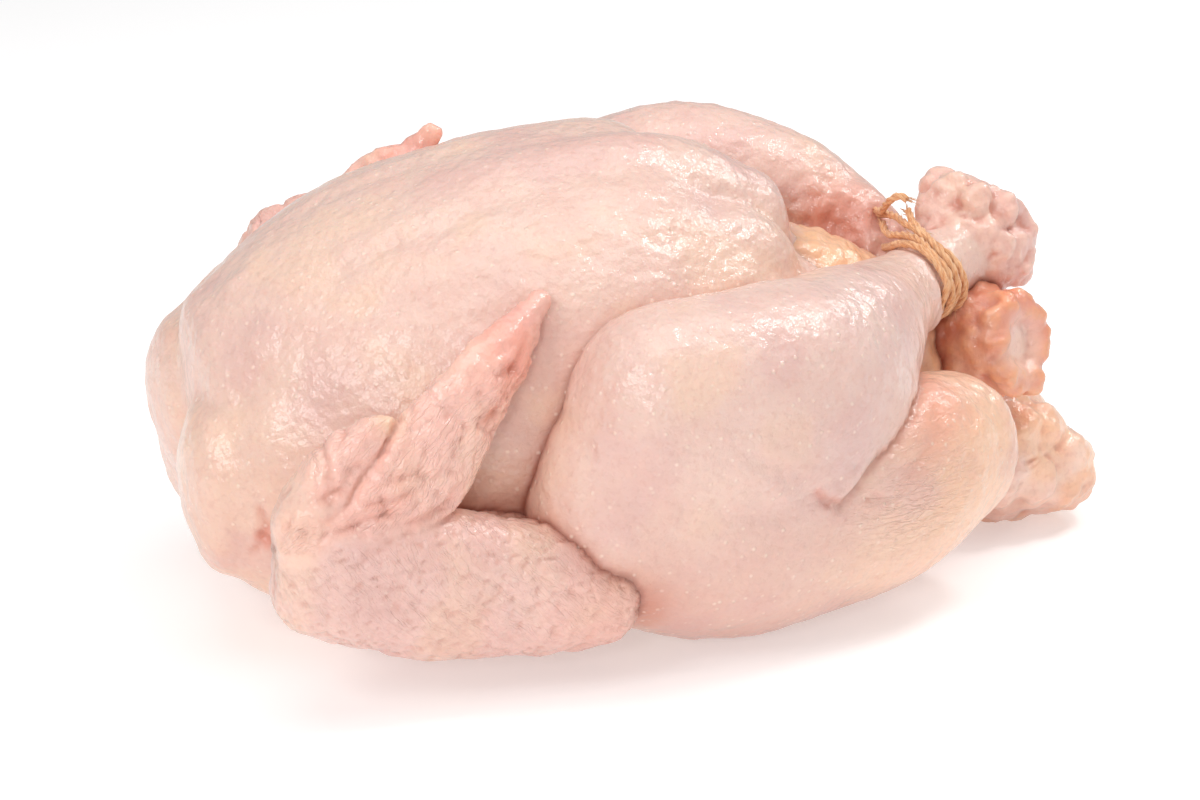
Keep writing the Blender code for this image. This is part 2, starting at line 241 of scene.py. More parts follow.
# Parts whose skin runs together. Separate groups only press against each other.
GROUPS = [("body", "tail"), ("fat",), ("r_thigh", "r_leg", "r_hock"), ("l_thigh", "l_leg", "l_hock"),
          ("r_arm", "r_hand", "r_thumb"), ("l_arm", "l_hand", "l_thumb")]


def body_forms():
    """The back, the two breast lobes with the keel between them, the fat flap at the vent and the tail."""
    forms = []
    back = [(-98, 0, 42, 32, 44), (-76, 0, 44, 42, 54), (-40, 0, 44, 46, 60), (0, 0, 44, 46, 62),
            (34, 0, 42, 44, 58), (56, 0, 36, 36, 52), (74, 0, 32, 30, 46), (100, -2, 32, 28, 34)]
    forms.append(loft("body", back, dome=(0.5, 0.5), power=2.3))
    breast = [(-102, 0, 53, 41, 41), (-84, 0, 58, 49, 57), (-60, 0, 63, 56, 66), (-36, 0, 67, 59.5, 69),
              (-12, 0, 70, 61, 68), (12, 0, 71, 61, 65), (30, 0, 74, 55, 58), (43, 3, 79, 45, 43),
              (49, 9, 86, 32, 25)]
    forms.append(loft("body", breast, dome=(0.35, 0.32), power=2.12))
    lobe = [(-113, 23, 50, 26, 24), (-100, 24, 51, 36, 31), (-82, 24, 54, 41, 37), (-60, 24, 58, 50, 43),
            (-30, 22, 64, 55, 45)]
    for side in (-1, 1):
        forms.append(loft("body", mirrored(lobe, side), dome=(0.5, 0.5), power=2.2))
    keel = [(-96, 0, 84, 19, 16), (-60, 0, 99, 21.5, 20), (-20, 0, 107, 24.5, 22), (14, 0, 108.5, 24.5, 22),
            (40, 0, 101, 19, 18)]
    forms.append(loft("body", keel, dome=(0.7, 0.7)))
    neck = [(-96, 0, 30, 20, 24), (-108, 0, 24, 13, 20)]
    forms.append(loft("body", neck, dome=(0.6, 0.6), rings=6))
    forms.append(blob("body", (-104, 30, 34), (18, 22, 28)))
    for side in (-1, 1):
        forms.append(blob("body", (19, side * 22, 101), (31, 20, 21)))
    flap = [(46, -4, 76, 28, 27), (60, -5, 75, 25, 26), (74, -4, 69, 22, 24), (92, -2, 52, 20, 22),
            (104, 0, 38, 16, 18)]
    forms.append(loft("fat", flap, dome=(0.6, 0.5)))
    tail = [(100, -4, 33, 25, 30), (117, -9, 27, 21.5, 23), (131, -14, 22, 18.5, 18.5),
            (143, -17, 18, 12.5, 13.5)]
    forms.append(loft("tail", tail, dome=(0.8, 0.8)))
    return forms + knobs("tail", [
        ((141, -21, 26), 8), ((133, -19, 34), 8.5), ((124, -22, 36), 9), ((128, -27, 25), 8),
        ((138, -26, 17), 6.5), ((120, -27, 26), 9), ((136, -6, 32), 8), ((140, -10, 20), 8)])


RIGHT_SHANK = [(-4, -69, 78, 38, 27), (22, -67, 80, 37.5, 28), (43, -59, 83, 33.5, 27),
               (59, -45, 87, 24.5, 21.5), (74, -30, 88, 15.5, 15), (87, -18, 87, 12, 12),
               (98, -7, 86.5, 11.5, 11.5), (112, 7, 86.5, 14, 14)]
LEFT_SHANK = [(-2, 63, 64, 37, 26), (26, 62, 73.5, 35.5, 27), (50, 57, 81.5, 32.5, 26),
              (68, 47, 85, 24.5, 21), (82, 34, 84, 17, 15), (93, 20, 79, 12, 12),
              (101, 9, 71.5, 10.5, 10.5), (108, -2, 66, 10.5, 10.5), (114, -11, 64.5, 12, 12)]


RIGHT_THIGH = [(-14, -70, 62, 36, 25), (16, -70, 54, 38, 26), (46, -64, 52, 35, 26), (74, -57, 52, 30, 24),
               (94, -49, 51, 22.5, 19)]
LEFT_THIGH = [(-14, 68, 54, 36, 25), (16, 70, 45, 40, 27), (48, 67, 43, 38, 27), (76, 59, 42, 32, 25),
              (97, 50, 42, 25, 20)]
RIGHT_WEB = [(72, -42, 88, 6, 6), (60, -60, 84, 9, 9), (50, -74, 78.5, 10, 10.5), (44, -81, 72, 7.5, 9),
             (39.5, -85.8, 65, 5.0, 6), (36.5, -88, 60, 2.6, 3.4)]
LEFT_WEB = [(78, 42, 80, 6, 6), (66, 60, 76, 9, 9), (54, 73, 70, 10, 10.5), (46, 79.5, 63, 7.5, 9),
            (41, 84, 56, 5, 6), (38, 86, 51, 2.6, 3.4)]


def leg_forms(letter, side, thigh, shank, hip, web):
    """One leg: the thigh, the drumstick over it, and the web of skin that folds down between them."""
    return [
        loft(letter + "_thigh", thigh, dome=(0.85, 0.62), power=2.2, side=side),
        loft(letter + "_leg", shank, dome=(0.85, 0.6), power=2.1, rings=44, side=side),
        blob(letter + "_leg", hip, (34, 26, 34)),
        loft(letter + "_leg", web, dome=(0.6, 0.9), power=2.2, normal=(-0.2, side * 0.85, 0.45), rings=28)]


HOCK_ROOT, HOCK_SQUEEZE = 108, 0.93


def right_hock():
    """The near foot joint: a knuckled ball."""
    forms = [blob("r_hock", (118.5, 12.5, 86.5), (14.8, 14.5, 15)),
             loft("r_hock", [(100, -4, 86.5, 11.5, 11.5), (110, 5, 87, 13.5, 13)], rings=8)]
    knuckles = [
        ((112.5, 12.5, 98.5), 8.5), ((120, 8.5, 98), 7.5), ((128, 7.5, 93), 7.6), ((128.5, 1.5, 87), 7.2),
        ((121, -0.5, 83), 8.5), ((112, 3, 80.5), 8.2), ((107, 6, 89), 8.6), ((116, 1, 92), 8),
        ((124, 12, 76), 8), ((131, 12, 84), 7.5), ((114, 22, 79), 9), ((126, 3, 99), 4.6),
        ((133, 4, 90), 4.8), ((130, -3, 81), 4.6), ((121, -5, 91), 4.6), ((116, 4, 103), 4.8),
        ((104, 11, 97), 5.2), ((122, 24, 88), 8.5), ((114, 24, 94), 8), ((130, 17, 91), 7)]
    squeezed = [((HOCK_ROOT + HOCK_SQUEEZE * (x - HOCK_ROOT), v, w), radius) for (x, v, w), radius in knuckles]
    return forms + knobs("r_hock", squeezed)


JOINT_FACE = np.array((121.8, -24.6, 69.6))
JOINT_AXIS = np.array((0.50, -0.79, 0.36)) / math.sqrt(0.50 ** 2 + 0.79 ** 2 + 0.36 ** 2)


def left_hock():
    """The far foot joint: a stub that ends in a rimmed, hollow joint face."""
    barrel = [(102, -2, 67, 11.5, 11.5), (107, -7, 65, 14.5, 14), (112.5, -13, 65, 15.4, 15),
              (117, -18, 67, 14.5, 14.5), (120.2, -22, 68.6, 11.5, 11.5)]
    forms = [loft("l_hock", barrel, dome=(0.6, 0.12), rings=16, sides=28)]
    side = np.cross(JOINT_AXIS, (0.0, 0.0, 1.0))
    side /= np.linalg.norm(side)
    rise = np.cross(side, JOINT_AXIS)
    rim = [(20, 10.4, 4.6), (52, 11.2, 4.2), (84, 11.6, 4.8), (118, 11.0, 4.4), (150, 10.6, 4.2),
           (184, 10.2, 4.4), (218, 10.8, 4.4), (254, 11.8, 5.0), (292, 11.6, 4.6), (326, 10.8, 4.4)]
    for degrees, reach, radius in rim:
        turn = math.radians(degrees)
        at = JOINT_FACE - JOINT_AXIS * 2.4 + side * reach * math.cos(turn) + rise * reach * math.sin(turn)
        forms += knobs("l_hock", [(at, radius)])
    return forms + knobs("l_hock", [
        ((110, -13, 75), 6.5), ((104, -14, 68), 7.5), ((109, -21, 62), 7), ((104, -9, 56), 7.5),
        ((116, -10, 76.5), 6), ((120, -8, 58), 8), ((110, 0, 60), 8), ((114, -20, 55), 6.5)])


RIGHT_THUMB = [(-99, 79, 73, 8.5, 9.5), (-97, 77.5, 81, 8.2, 9), (-92.8, 76.8, 87.4, 6.4, 6.6),
               (-88.1, 76.6, 91.8, 5.2, 5.4), (-84.3, 76.6, 94.8, 3.9, 4.0), (-81.2, 76.0, 96.6, 2.0, 2.0)]
LEFT_THUMB = [(-83, 67, 69, 10, 9), (-79, 67, 78, 9, 8), (-73, 66.5, 83.5, 6.2, 6), (-68, 65.5, 86.5, 4.6, 4.4),
              (-64, 64.5, 88.5, 1.4, 1.4)]


def wing_forms(letter, side, elbow, wrist, tip, thumb, bow):
    """One folded wing: upper arm, forearm, the hand turned up from the wrist, and its thumb.

    Every place has v measured outwards. bow moves the middle of the hand outwards.
    """
    e, w, t = (np.array(p, float) for p in (elbow, wrist, tip))
    bulge, trim = np.array((0.0, bow, 0.0)), np.array((2.6, 0.0, -3.2))
    upper = [(-82, 54, 44, 22, 16), (*(e + (-6, -8, 4)), 14, 11)]
    forearm = [(*(e + (1.5, 0.5, 2)), 14.5, 12), (*(e * 0.9 + w * 0.1 + (0, 0, 1)), 18, 13),
               (*(e * 0.7 + w * 0.3 + (0, 0, -1)), 20, 13.5),
               (*(e * 0.44 + w * 0.56 + (0, 0, -4)), 21.5, 14), (*(w + (1, 0, -3)), 21, 13.5)]
    hand = [(*(w + (2, 0, 2)), 19, 12), (*(w * 0.84 + t * 0.16 + bulge * 0.5 + trim * 0.7), 15, 10.5),
            (*(w * 0.7 + t * 0.3 + bulge * 0.8 + trim + (-0.8, 0, 1.2)), 14.2, 9),
            (*(w * 0.46 + t * 0.54 + bulge + trim * 0.2 + (-1.0, 0, 1.4)), 13.4, 7.8),
            (*(w * 0.2 + t * 0.8 + bulge * 0.75 + (-0.4, 0, 0.5)), 9.4, 6.4), (*(t + bulge * 0.3), 3.2, 3.0)]
    heel, gusset = w + (1.5, -1.5, 6), w * 0.75 + t * 0.25 + (2.5, 0.0, 8.0)
    return [
        loft(letter + "_arm", mirrored(upper, side), rings=12, side=side),
        loft(letter + "_arm", mirrored(forearm, side), power=2.2, dome=(0.9, 0.72), side=side),
        blob(letter + "_arm", heel * (1, side, 1), (13.5, 11.5, 18)),
        loft(letter + "_hand", mirrored(hand, side), dome=(0.8, 1.5), side=side),
        blob(letter + "_hand", gusset * (1, side, 1), (7, 5, 8)),
        loft(letter + "_thumb", mirrored(thumb, side), dome=(0.9, 1.2), rings=16, sides=20, side=side)]


FORMS = body_forms()
FORMS += leg_forms("r", -1, RIGHT_THIGH, RIGHT_SHANK, (-4, -70, 68), RIGHT_WEB)
FORMS += leg_forms("l", 1, LEFT_THIGH, LEFT_SHANK, (-4, 67, 58), LEFT_WEB)
FORMS += right_hock() + left_hock()
FORMS += wing_forms("r", -1, (-25, 85, 40), (-99.5, 80, 62), (-35, 50, 114), RIGHT_THUMB, 11)
FORMS += wing_forms("l", 1, (-26, 80, 28), (-78, 66, 60), (-39, 49, 115), LEFT_THUMB, -2)


# ---------------------------------------------------------------- one skin

class Skin:
    """The fine mesh of every group as arrays, in the bird's frame."""

    def __init__(self, forms):
        co, faces, label, group, count = [], [], [], [], 0
        for number, names in enumerate(GROUPS):
            verts, polygons, tags, base = [], [], [], 0
            for form in forms:
                if form.label in names:
                    verts.append(form.verts)
                    polygons += [tuple(i + base for i in f) for f in form.faces]
                    tags += [NUMBER[form.label]] * len(form.faces)
                    base += len(form.verts)
            fine_co, fine_faces = self.wrapped(np.concatenate(verts), polygons)
            coarse = BVHTree.FromPolygons(np.concatenate(verts).tolist(), polygons)
            nearest = [coarse.find_nearest(p)[2] for p in fine_co.tolist()]
            co.append(fine_co)
            faces.append(fine_faces + count)
            label.append(np.array(tags)[nearest])
            group.append(np.full(len(fine_co), number))
            count += len(fine_co)
        self.co, self.faces = np.concatenate(co), np.concatenate(faces)
        self.label, self.group = np.concatenate(label), np.concatenate(group)
        pairs = np.concatenate([self.faces[:, [i, (i + 1) % 4]] for i in range(4)])
        pairs.sort(axis=1)
        self.edges = np.unique(pairs, axis=0)
        self.degree = np.bincount(self.edges.ravel(), minlength=len(self.co)).astype(float)[:, None]

    @staticmethod
    def wrapped(verts, polygons):
        """One even skin round overlapping shells."""
        mesh = bpy.data.meshes.new("forms")
        mesh.from_pydata(verts.tolist(), [], polygons)
        holder = bpy.data.objects.new("forms", mesh)
        bpy.context.scene.collection.objects.link(holder)
        remesh = holder.modifiers.new("skin", "REMESH")
        remesh.mode = "VOXEL"
        remesh.voxel_size = VOXEL
        fine = bpy.data.meshes.new_from_object(holder.evaluated_get(bpy.context.evaluated_depsgraph_get()))
        bpy.data.objects.remove(holder)
        co = np.zeros(len(fine.vertices) * 3, np.float32)
        fine.vertices.foreach_get("co", co)
        faces = np.zeros(len(fine.loops), np.int32)
        fine.loops.foreach_get("vertex_index", faces)
        bpy.data.meshes.remove(fine)
        return co.reshape(-1, 3).astype(float), faces.reshape(-1, 4)

    def around(self, values):
        """The mean of each vertex's neighbours."""
        a, b = self.edges.T
        count = len(self.co)
        flat = values.reshape(count, -1)
        total = np.stack([np.bincount(a, c[b], count) + np.bincount(b, c[a], count) for c in flat.T], axis=1)
        return (total / self.degree).reshape(values.shape)

    def spread(self, values, count):
        """Values blurred over the skin count times."""
        for _ in range(count):
            values = 0.5 * values + 0.5 * self.around(values)
        return values

    def relax(self, count, share=0.5):
        """Smooth the shape count times. share may differ from vertex to vertex."""
        for _ in range(count):
            self.co += share * (self.around(self.co) - self.co)

    def normals(self):
        """The outward direction at each vertex."""
        p = self.co[self.faces]
        face = np.cross(p[:, 2] - p[:, 0], p[:, 3] - p[:, 1])
        total = np.zeros_like(self.co)
        for k in range(4):
            for axis in range(3):
                total[:, axis] += np.bincount(self.faces[:, k], face[:, axis], len(self.co))
        return total / np.maximum(np.linalg.norm(total, axis=1), 1e-9)[:, None]

    def push(self, height):
        """Raise each vertex along its normal."""
        self.co += self.normals() * height[:, None]

    def contact(self, reach=8.0):
        """Distance from each vertex to the skin of other groups, below 0 where it is hidden inside one."""
        gap = np.full(len(self.co), reach)
        for number in range(len(GROUPS)):
            used = np.nonzero(self.group == number)[0]
            faces = self.faces[self.group[self.faces[:, 0]] == number] - used[0]
            shell = BVHTree.FromPolygons(self.co[used].tolist(), faces.tolist())
            low, high = self.co[used].min(axis=0) - reach, self.co[used].max(axis=0) + reach
            close = ((self.co > low) & (self.co < high)).all(axis=1)
            others = np.nonzero((self.group != number) & close)[0]
            for i, p in zip(others.tolist(), self.co[others].tolist()):
                spot, normal, _, distance = shell.find_nearest(p, reach)
                if spot is not None:
                    rise = sum((a - b) * c for a, b, c in zip(p, spot, normal))
                    gap[i] = min(gap[i], -distance if rise < 0 else distance)
        return gap


skin = Skin(FORMS)
skin.relax(2)
label = skin.spread(np.eye(len(LABELS))[skin.label], 14).argmax(axis=1)
# The thumbs begin at these places along x. Skin before them belongs to the hand.
for letter, thumb_start in (("r", -97), ("l", -77)):
    before = skin.co[:, 0] < thumb_start
    label[before & (label == NUMBER[letter + "_thumb"])] = NUMBER[letter + "_hand"]
share = skin.spread(np.eye(len(LABELS))[label], 8)


def part(*names):
    """How much each vertex belongs to the named parts, from 0 to 1."""
    return sum(share[:, NUMBER[n]] for n in names)


# Which part lies over which, and how hard the parts of one limb press together.
RANKS = {"body": 0, "fat": 0, "tail": 1, "thigh": 2, "leg": 3, "hock": 4, "arm": 4, "hand": 5, "thumb": 6}
RANK = np.array([RANKS[name.split("_")[-1]] for name in LABELS])
SEAMS = {("arm", "hand"): 1.0, ("hand", "thumb"): 2.2, ("thigh", "leg"): 3.4}


def on_both_sides(*kinds):
    """The numbers of a kind of part on the right and on the left."""
    return [NUMBER[f"{letter}_{kind}"] for letter in "rl" for kind in kinds]


def seam_distance():
    """Distance to the nearest seam, how strong it is there, and whether this skin lies under it."""
    strength = np.zeros((len(LABELS), len(LABELS)))
    for (one, two), value in SEAMS.items():
        for a, b in zip(on_both_sides(one), on_both_sides(two)):
            strength[a, b] = strength[b, a] = value
    a, b = label[skin.edges.T]
    middle = skin.co[skin.edges].mean(axis=1)
    value = strength[a, b]
    # The fold of the leg opens behind its tip, and the crook of the wing in front of the wrist.
    fold = np.isin(a, on_both_sides("thigh", "leg")) & np.isin(b, on_both_sides("thigh", "leg"))
    value = value * np.where(fold, smoothstep(middle[:, 0], 34.5, 38.5) * (np.abs(middle[:, 1]) > 34), 1.0)
    crook = np.isin(a, on_both_sides("arm", "hand")) & np.isin(b, on_both_sides("arm", "hand"))
    value = value * np.where(crook, smoothstep(middle[:, 0], -79, -69), 1.0)

    hit = np.nonzero(value > 0.05)[0]
    middle, force = middle[hit], value[hit]
    over = np.maximum(RANK[a[hit]], RANK[b[hit]])
    side = skin.group[skin.edges[hit, 0]]
    gap, strength_here = np.full(len(skin.co), 99.0), np.zeros(len(skin.co))
    under = np.zeros(len(skin.co), bool)
    for number in np.unique(side):
        lines, mine = np.nonzero(side == number)[0], np.nonzero(skin.group == number)[0]
        tree = KDTree(len(lines))
        for i in lines.tolist():
            tree.insert(middle[i], i)
        tree.balance()
        found = [tree.find(p) for p in skin.co[mine].tolist()]
        nearest = np.array([f[1] for f in found])
        gap[mine], strength_here[mine] = [f[2] for f in found], force[nearest]
        under[mine] = RANK[label[mine]] < over[nearest]
    return gap, strength_here, under


seam, force, under = seam_distance()
skin_away = smoothstep(seam, 1.0, 5.0)[:, None]
skin.relax(5, 0.5 * skin_away)
under = skin.spread(under.astype(float), 1)
lip, groove = np.exp(-(seam / 1.2) ** 2), np.exp(-(seam / 1.6) ** 2)
skin.push(-force * (0.15 * (1 - under) * lip + 0.62 * under * groove))


# ---------------------------------------------------------------- skin that follows each part

def flow_coordinates():
    """Millimetre-like distances along and around the spine of the part each vertex belongs to."""
    flow = np.stack([skin.co[:, 0], skin.co[:, 1] + 0.3 * skin.co[:, 2], skin.co[:, 2] * 0], axis=1)
    for form in FORMS:
        if form.spine is None or form.label in ("body", "fat"):
            continue
        mine = np.nonzero(label == NUMBER[form.label])[0]
        p = skin.co[mine]
        gap = ((p[:, None, :] - form.spine[None]) ** 2).sum(axis=2)
        i = gap.argmin(axis=1)
        step = np.gradient(form.spine, axis=0)
        length = np.linalg.norm(step, axis=1)
        tangent = step / length[:, None]
        at = np.concatenate([[0.0], np.cumsum(np.linalg.norm(np.diff(form.spine, axis=0), axis=1))])
        off = p - form.spine[i]
        s = at[i] + (off * tangent[i]).sum(axis=1)
        angle = np.arctan2((off * form.high[i]).sum(axis=1), (off * form.outward[i]).sum(axis=1))
        flow[mine, 0] = s
        flow[mine, 1] = angle * np.maximum(form.radius[i], 3.0)
    return flow


flow = flow_coordinates()
# On the forearms the wrinkles run aslant.
turned = np.isin(label, on_both_sides("arm"))
flow[turned, :2] = flow[turned, :2] @ np.array([[0.79, 0.61], [-0.61, 0.79]])
p = skin.co.copy()
hand = part("r_hand", "l_hand", "r_thumb", "l_thumb")
arm = part("r_arm", "l_arm")
wing = hand + arm
hock = part("r_hock", "l_hock")
leg = part("r_leg", "l_leg", "r_thigh", "l_thigh")
body = part("body")
tail = part("tail")
fat = part("fat")


def near(centre, radii):
    """A soft patch round a point, from 1 at the point to 0 well outside radii."""
    return np.exp(-(((p - np.array(centre, float)) / np.array(radii, float)) ** 2).sum(axis=1))


def stroke(points, width):
    """How strongly each vertex feels a line drawn on the skin, from 0 to 1, fading at the line's ends."""
    line = np.array(points, float)
    step = np.linalg.norm(np.diff(line, axis=0), axis=1)
    at = np.concatenate([[0.0], np.cumsum(step)])
    low, high = line.min(axis=0) - 4 * width, line.max(axis=0) + 4 * width
    mine = np.nonzero(((p > low) & (p < high)).all(axis=1))[0]
    q = p[mine]
    best, place = np.full(len(q), 1e9), np.zeros(len(q))
    for i in range(len(line) - 1):
        d = line[i + 1] - line[i]
        t = np.clip(((q - line[i]) @ d) / (d @ d), 0, 1)
        gap = np.linalg.norm(q - line[i] - t[:, None] * d, axis=1)
        closer = gap < best
        best[closer] = gap[closer]
        place[closer] = (at[i] + t * step[i])[closer]
    felt = np.zeros(len(p))
    share_along = place / at[-1]
    fade = smoothstep(share_along, -0.02, 0.25) * smoothstep(1 - share_along, -0.02, 0.25)
    felt[mine] = np.exp(-(best / width) ** 2) * fade
    return felt


def inside_borders():
    """1 well inside each part, falling to 0 along the lines between parts."""
    cross = label[skin.edges[:, 0]] != label[skin.edges[:, 1]]
    border = np.zeros(len(p))
    border[skin.edges[cross].ravel()] = 1.0
    for _ in range(2):
        border = np.maximum(border, 0.999 * skin.around(border) ** 0.5)
    return skin.spread(1 - border, 3) * (border < 0.5)


inner = inside_borders()
inner_left = near((79, 20, 91), (17, 13, 13)) * part("l_leg", "l_thigh", "fat", "body")
rear_thigh = near((84, -62, 66), (18, 26, 16)) * leg
elbows = near((-24, -86, 42), (22, 20, 20)) + near((-24, 80, 36), (22, 20, 20))
face = part("l_hock") * near(JOINT_FACE, (8, 8, 9))


def ridges(size, seed, layers):
    """Soft folds that stand between narrow valleys."""
    return 0.35 - np.abs(layered(p, size, seed, layers))


def grain(size, seed):
    """Rounded grains of fat or gristle."""
    return 0.5 - pebbles(p, size, seed)


def relief():
    """How far each part's own folds and lumps raise the skin."""
    height = 0.8 * layered(p, 34, 3, 2)
    height += body * 0.35 * noise(p, (60, 8, 8), 5)
    height += wing * (0.8 * layered(p, 9, 7, 2))
    height += np.clip(body + leg, 0, 1) * (0.22 * noise(p, 2.7, 81) + 0.22 * noise(p, 5.5, 82))

    bent = flow + np.stack([layered(p, 12, 61, 2), layered(p, 9, 62, 2), p[:, 0] * 0], axis=1) * (3.0, 2.4, 0)
    below_tip = smoothstep(-p[:, 2], -112, -98)
    height -= hand * inner * below_tip * 1.3 * np.exp(-(noise(bent, (14, 4.6, 1), 63) / 0.18) ** 2)
    height += hand * 2.0 * ridges((7, 7, 5), 71, 3)
    height -= arm * inner * 0.9 * np.exp(-(noise(bent + 0.5 * bent[:, ::-1], (13, 5, 1), 64) / 0.17) ** 2)
    height += arm * 0.7 * ridges((9, 9, 5), 73, 3)
    height += arm * 0.6 * grain(4.2, 66) * elbows

    knuckled = hock * (1 - np.clip(1.3 * face, 0, 1))
    height += knuckled * (2.2 * grain(6.4, 4) + 1.0 * grain(3.6, 6) + 2.4 * ridges(10, 9, 2))
    height += tail * smoothstep(p[:, 0], 94, 120) * (0.5 * grain(9, 8) + 4.4 * ridges(13, 12, 3))
    height += fat * (1.8 * grain(6.5, 15) + 0.8 * grain(3.8, 16))
    bare = np.clip(1.3 * inner_left, 0, 1)
    height += bare * (2.6 * grain(6.0, 21) + 1.0 * grain(3.4, 23) + 3.4 * ridges(10, 22, 2))
    height += 0.7 * near((36.5, -91, 69), (4, 5, 3.5))
    return height + rear_thigh * (0.8 * grain(8, 31) + 2.6 * ridges(14, 33, 3))


# Drawn creases: width, depth, redness and the places that the line passes.
CREASES = [
    (1.4, 1.0, 0.25, [(-64.0, -83.8, 76.2), (-70.3, -86.4, 75.2), (-76.0, -88.4, 73.4), (-79.5, -89.6, 71.1)]),
    (1.2, 1.6, 0.32, [(-102.9, -88.6, 75.5), (-92.3, -88.9, 79.4), (-81.6, -88.7, 80.3), (-72.4, -86.6, 82.7)]),
    (1.2, 1.6, 0.32, [(-105.5, -85.2, 78.9), (-95.1, -86.0, 84.0), (-83.5, -87.5, 84.7), (-71.2, -85.2, 88.0)]),
    (1.2, 1.6, 0.32, [(-98.0, -90.2, 73.5), (-88.3, -89.8, 76.7), (-78.3, -88.6, 77.5)]),
    (1.3, 0.6, 0.08, [(-92.5, -92.8, 65.5), (-88.7, -92.0, 68.5), (-80.0, -89.5, 70.4)]),
    (1.5, 1.2, 0.6, [(-50.5, -70.4, 105.4), (-46.4, -69.4, 104.9), (-43.2, -68.6, 103.6)]),
    (1.5, 1.1, 0.5, [(-56.5, -78.4, 93.2), (-53.4, -77.3, 95.6), (-50.6, -75.1, 97.6)]),
    (1.2, 0.8, 0.25, [(-38.2, -59.0, 112.8), (-41.0, -63.2, 110.0), (-45.3, -69.7, 105.0),
                      (-50.5, -75.1, 97.6), (-53.8, -77.6, 89.5)]),
    (1.6, 0.5, 0.05, [(44.8, -91.2, 67.2), (52.1, -88.1, 63.5), (60.3, -86.6, 59.8)]),
    (2.2, 0.7, 0.15, [(56.9, -86.5, 65.0), (67.0, -81.5, 70.3), (74.9, -75.1, 75.1), (74.3, -67.8, 80.5)]),
    (1.8, 0.6, 0.10, [(87.8, -70.4, 70.8), (85.1, -64.1, 77.1)]),
    (3.2, 0.7, 0.0, [(5, -94.7, 92.4), (15.8, -95.4, 84.3), (25.7, -94.6, 77.6), (33.5, -91.9, 69.4),
                     (39.5, -89, 60)]),
    (0.9, 0.8, 0.50, [(32.0, -92.5, 72.5), (35.2, -91.4, 68.6), (37, -91.5, 66.5), (39.5, -91.3, 65.5),
                      (42.5, -91, 66.5)]),
    (1.4, 1.8, 0.7, [(-110.0, -50.6, 51.5), (-107.8, -51.6, 49.5), (-104.5, -52.8, 47.5)]),
    (1.1, 0.9, 0.3, [(-109.5, -50.6, 60.0), (-107.4, -51.8, 54.5), (-107.6, -51.6, 50.0)]),
    (1.1, 0.9, 0.3, [(-112.5, -49.0, 42.5), (-109.5, -50.4, 45.5), (-107.6, -51.6, 49.0)]),
    (1.1, 0.8, 0.3, [(-104.0, -53.4, 57.0), (-106.0, -52.4, 53.0), (-107.0, -51.8, 50.0)]),
]
# A shallow groove on each side of the keel: its depth and its places, as x, distance out and height.
KEEL_GROOVES = ((-1, 0.9), (1, 0.4))
KEEL_LINE = ((-91.9, 21.8, 104.4), (-69.5, 19.2, 116.0), (-41.2, 15.9, 125.2), (-7.1, 14.4, 130.5),
             (23.6, 12.2, 128.3))
for side, depth in KEEL_GROOVES:
    CREASES.append((5.0, depth, 0.0, [(x, side * out, w) for x, out, w in KEEL_LINE]))

# Fine wet wrinkles that fan out from the tip of the near leg's fold. Each runs across the same three
# arcs, which are given by their middle's x and w, their radius and their first and last direction.
FAN_LINES = 6
FAN_ARCS = ((42.5, 73.0, 9.2, -94.0, -39.0), (44.5, 72.0, 11.0, -111.0, -41.0),
            (45.5, 72.5, 14.2, -114.0, -45.0))


def fan_place(arc, part_way):
    """A place on the thigh's near face, which is close to flat here."""
    x, w, radius, first, last = arc
    turn = math.radians(first + part_way * (last - first))
    x += radius * math.cos(turn)
    w += radius * math.sin(turn)
    return x, -113.2 + 0.268 * x + 0.174 * w, w


for part_way in np.linspace(0, 1, FAN_LINES):
    CREASES.append((0.8, 0.5, 0.05, [fan_place(arc, part_way) for arc in FAN_ARCS]))

height = relief()
redness = np.zeros(len(p))
for width, depth, red, line in CREASES:
    felt = stroke(line, width)
    height -= depth * felt
    height += 0.35 * depth * (stroke(line, width * 2.4) - felt)
    redness += red * stroke(line, width * 1.6)

skin.push(height)
skin.relax(1, 0.3)


# ---------------------------------------------------------------- the twine's line

# The turns and ends that show over the crossed hocks, each as the places that its middle passes.
UPPER = [(92.6, 2.5, 105.4), (91.1, 4.5, 105.7), (89.9, 6.5, 104.2), (89.4, 9.5, 100.9), (90.2, 13.8, 96.6),
         (91.9, 19.7, 92.1)]
OVER = [(92.4, 14, 95.0), (92.3, 7, 97.2), (92.1, 0.6, 98.7), (92.6, -5.1, 99.7), (93.5, -9.7, 99.8),
        (94.9, -13.2, 99.3), (96.6, -16.6, 98.4), (99, -18.0, 96.8), (100.4, -19.4, 95.1), (101.4, -20.6, 93),
        (102.8, -20.6, 89.8), (103.8, -19.8, 86), (103.4, -18.6, 82), (102, -17, 79)]
STUB = [(93.5, 3.2, 101.6), (93.4, 0.4, 100.4), (93.8, -3.8, 99.8), (94, -7.4, 99.8), (94.3, -12.8, 99.9),
        (95.0, -17.8, 99.2), (96.2, -20.6, 97.7), (98.0, -21.9, 95.2), (99.0, -23.2, 92.4), (99.6, -23.6, 89),
        (99.3, -22.8, 85), (98.6, -21, 81)]
LOWER = [(91.0, 14.4, 92.0), (89.6, 8.3, 92.2), (89.1, -0.2, 95.6), (90.2, -7.4, 98.8), (90.8, -12.6, 100.1),
         (91.3, -17.6, 100.1), (92.4, -21.4, 99.1), (93.8, -23.5, 97.6), (95.2, -24.8, 95.4), (96, -26, 92.6),
         (96.8, -26.4, 89.4), (96.6, -26, 86)]
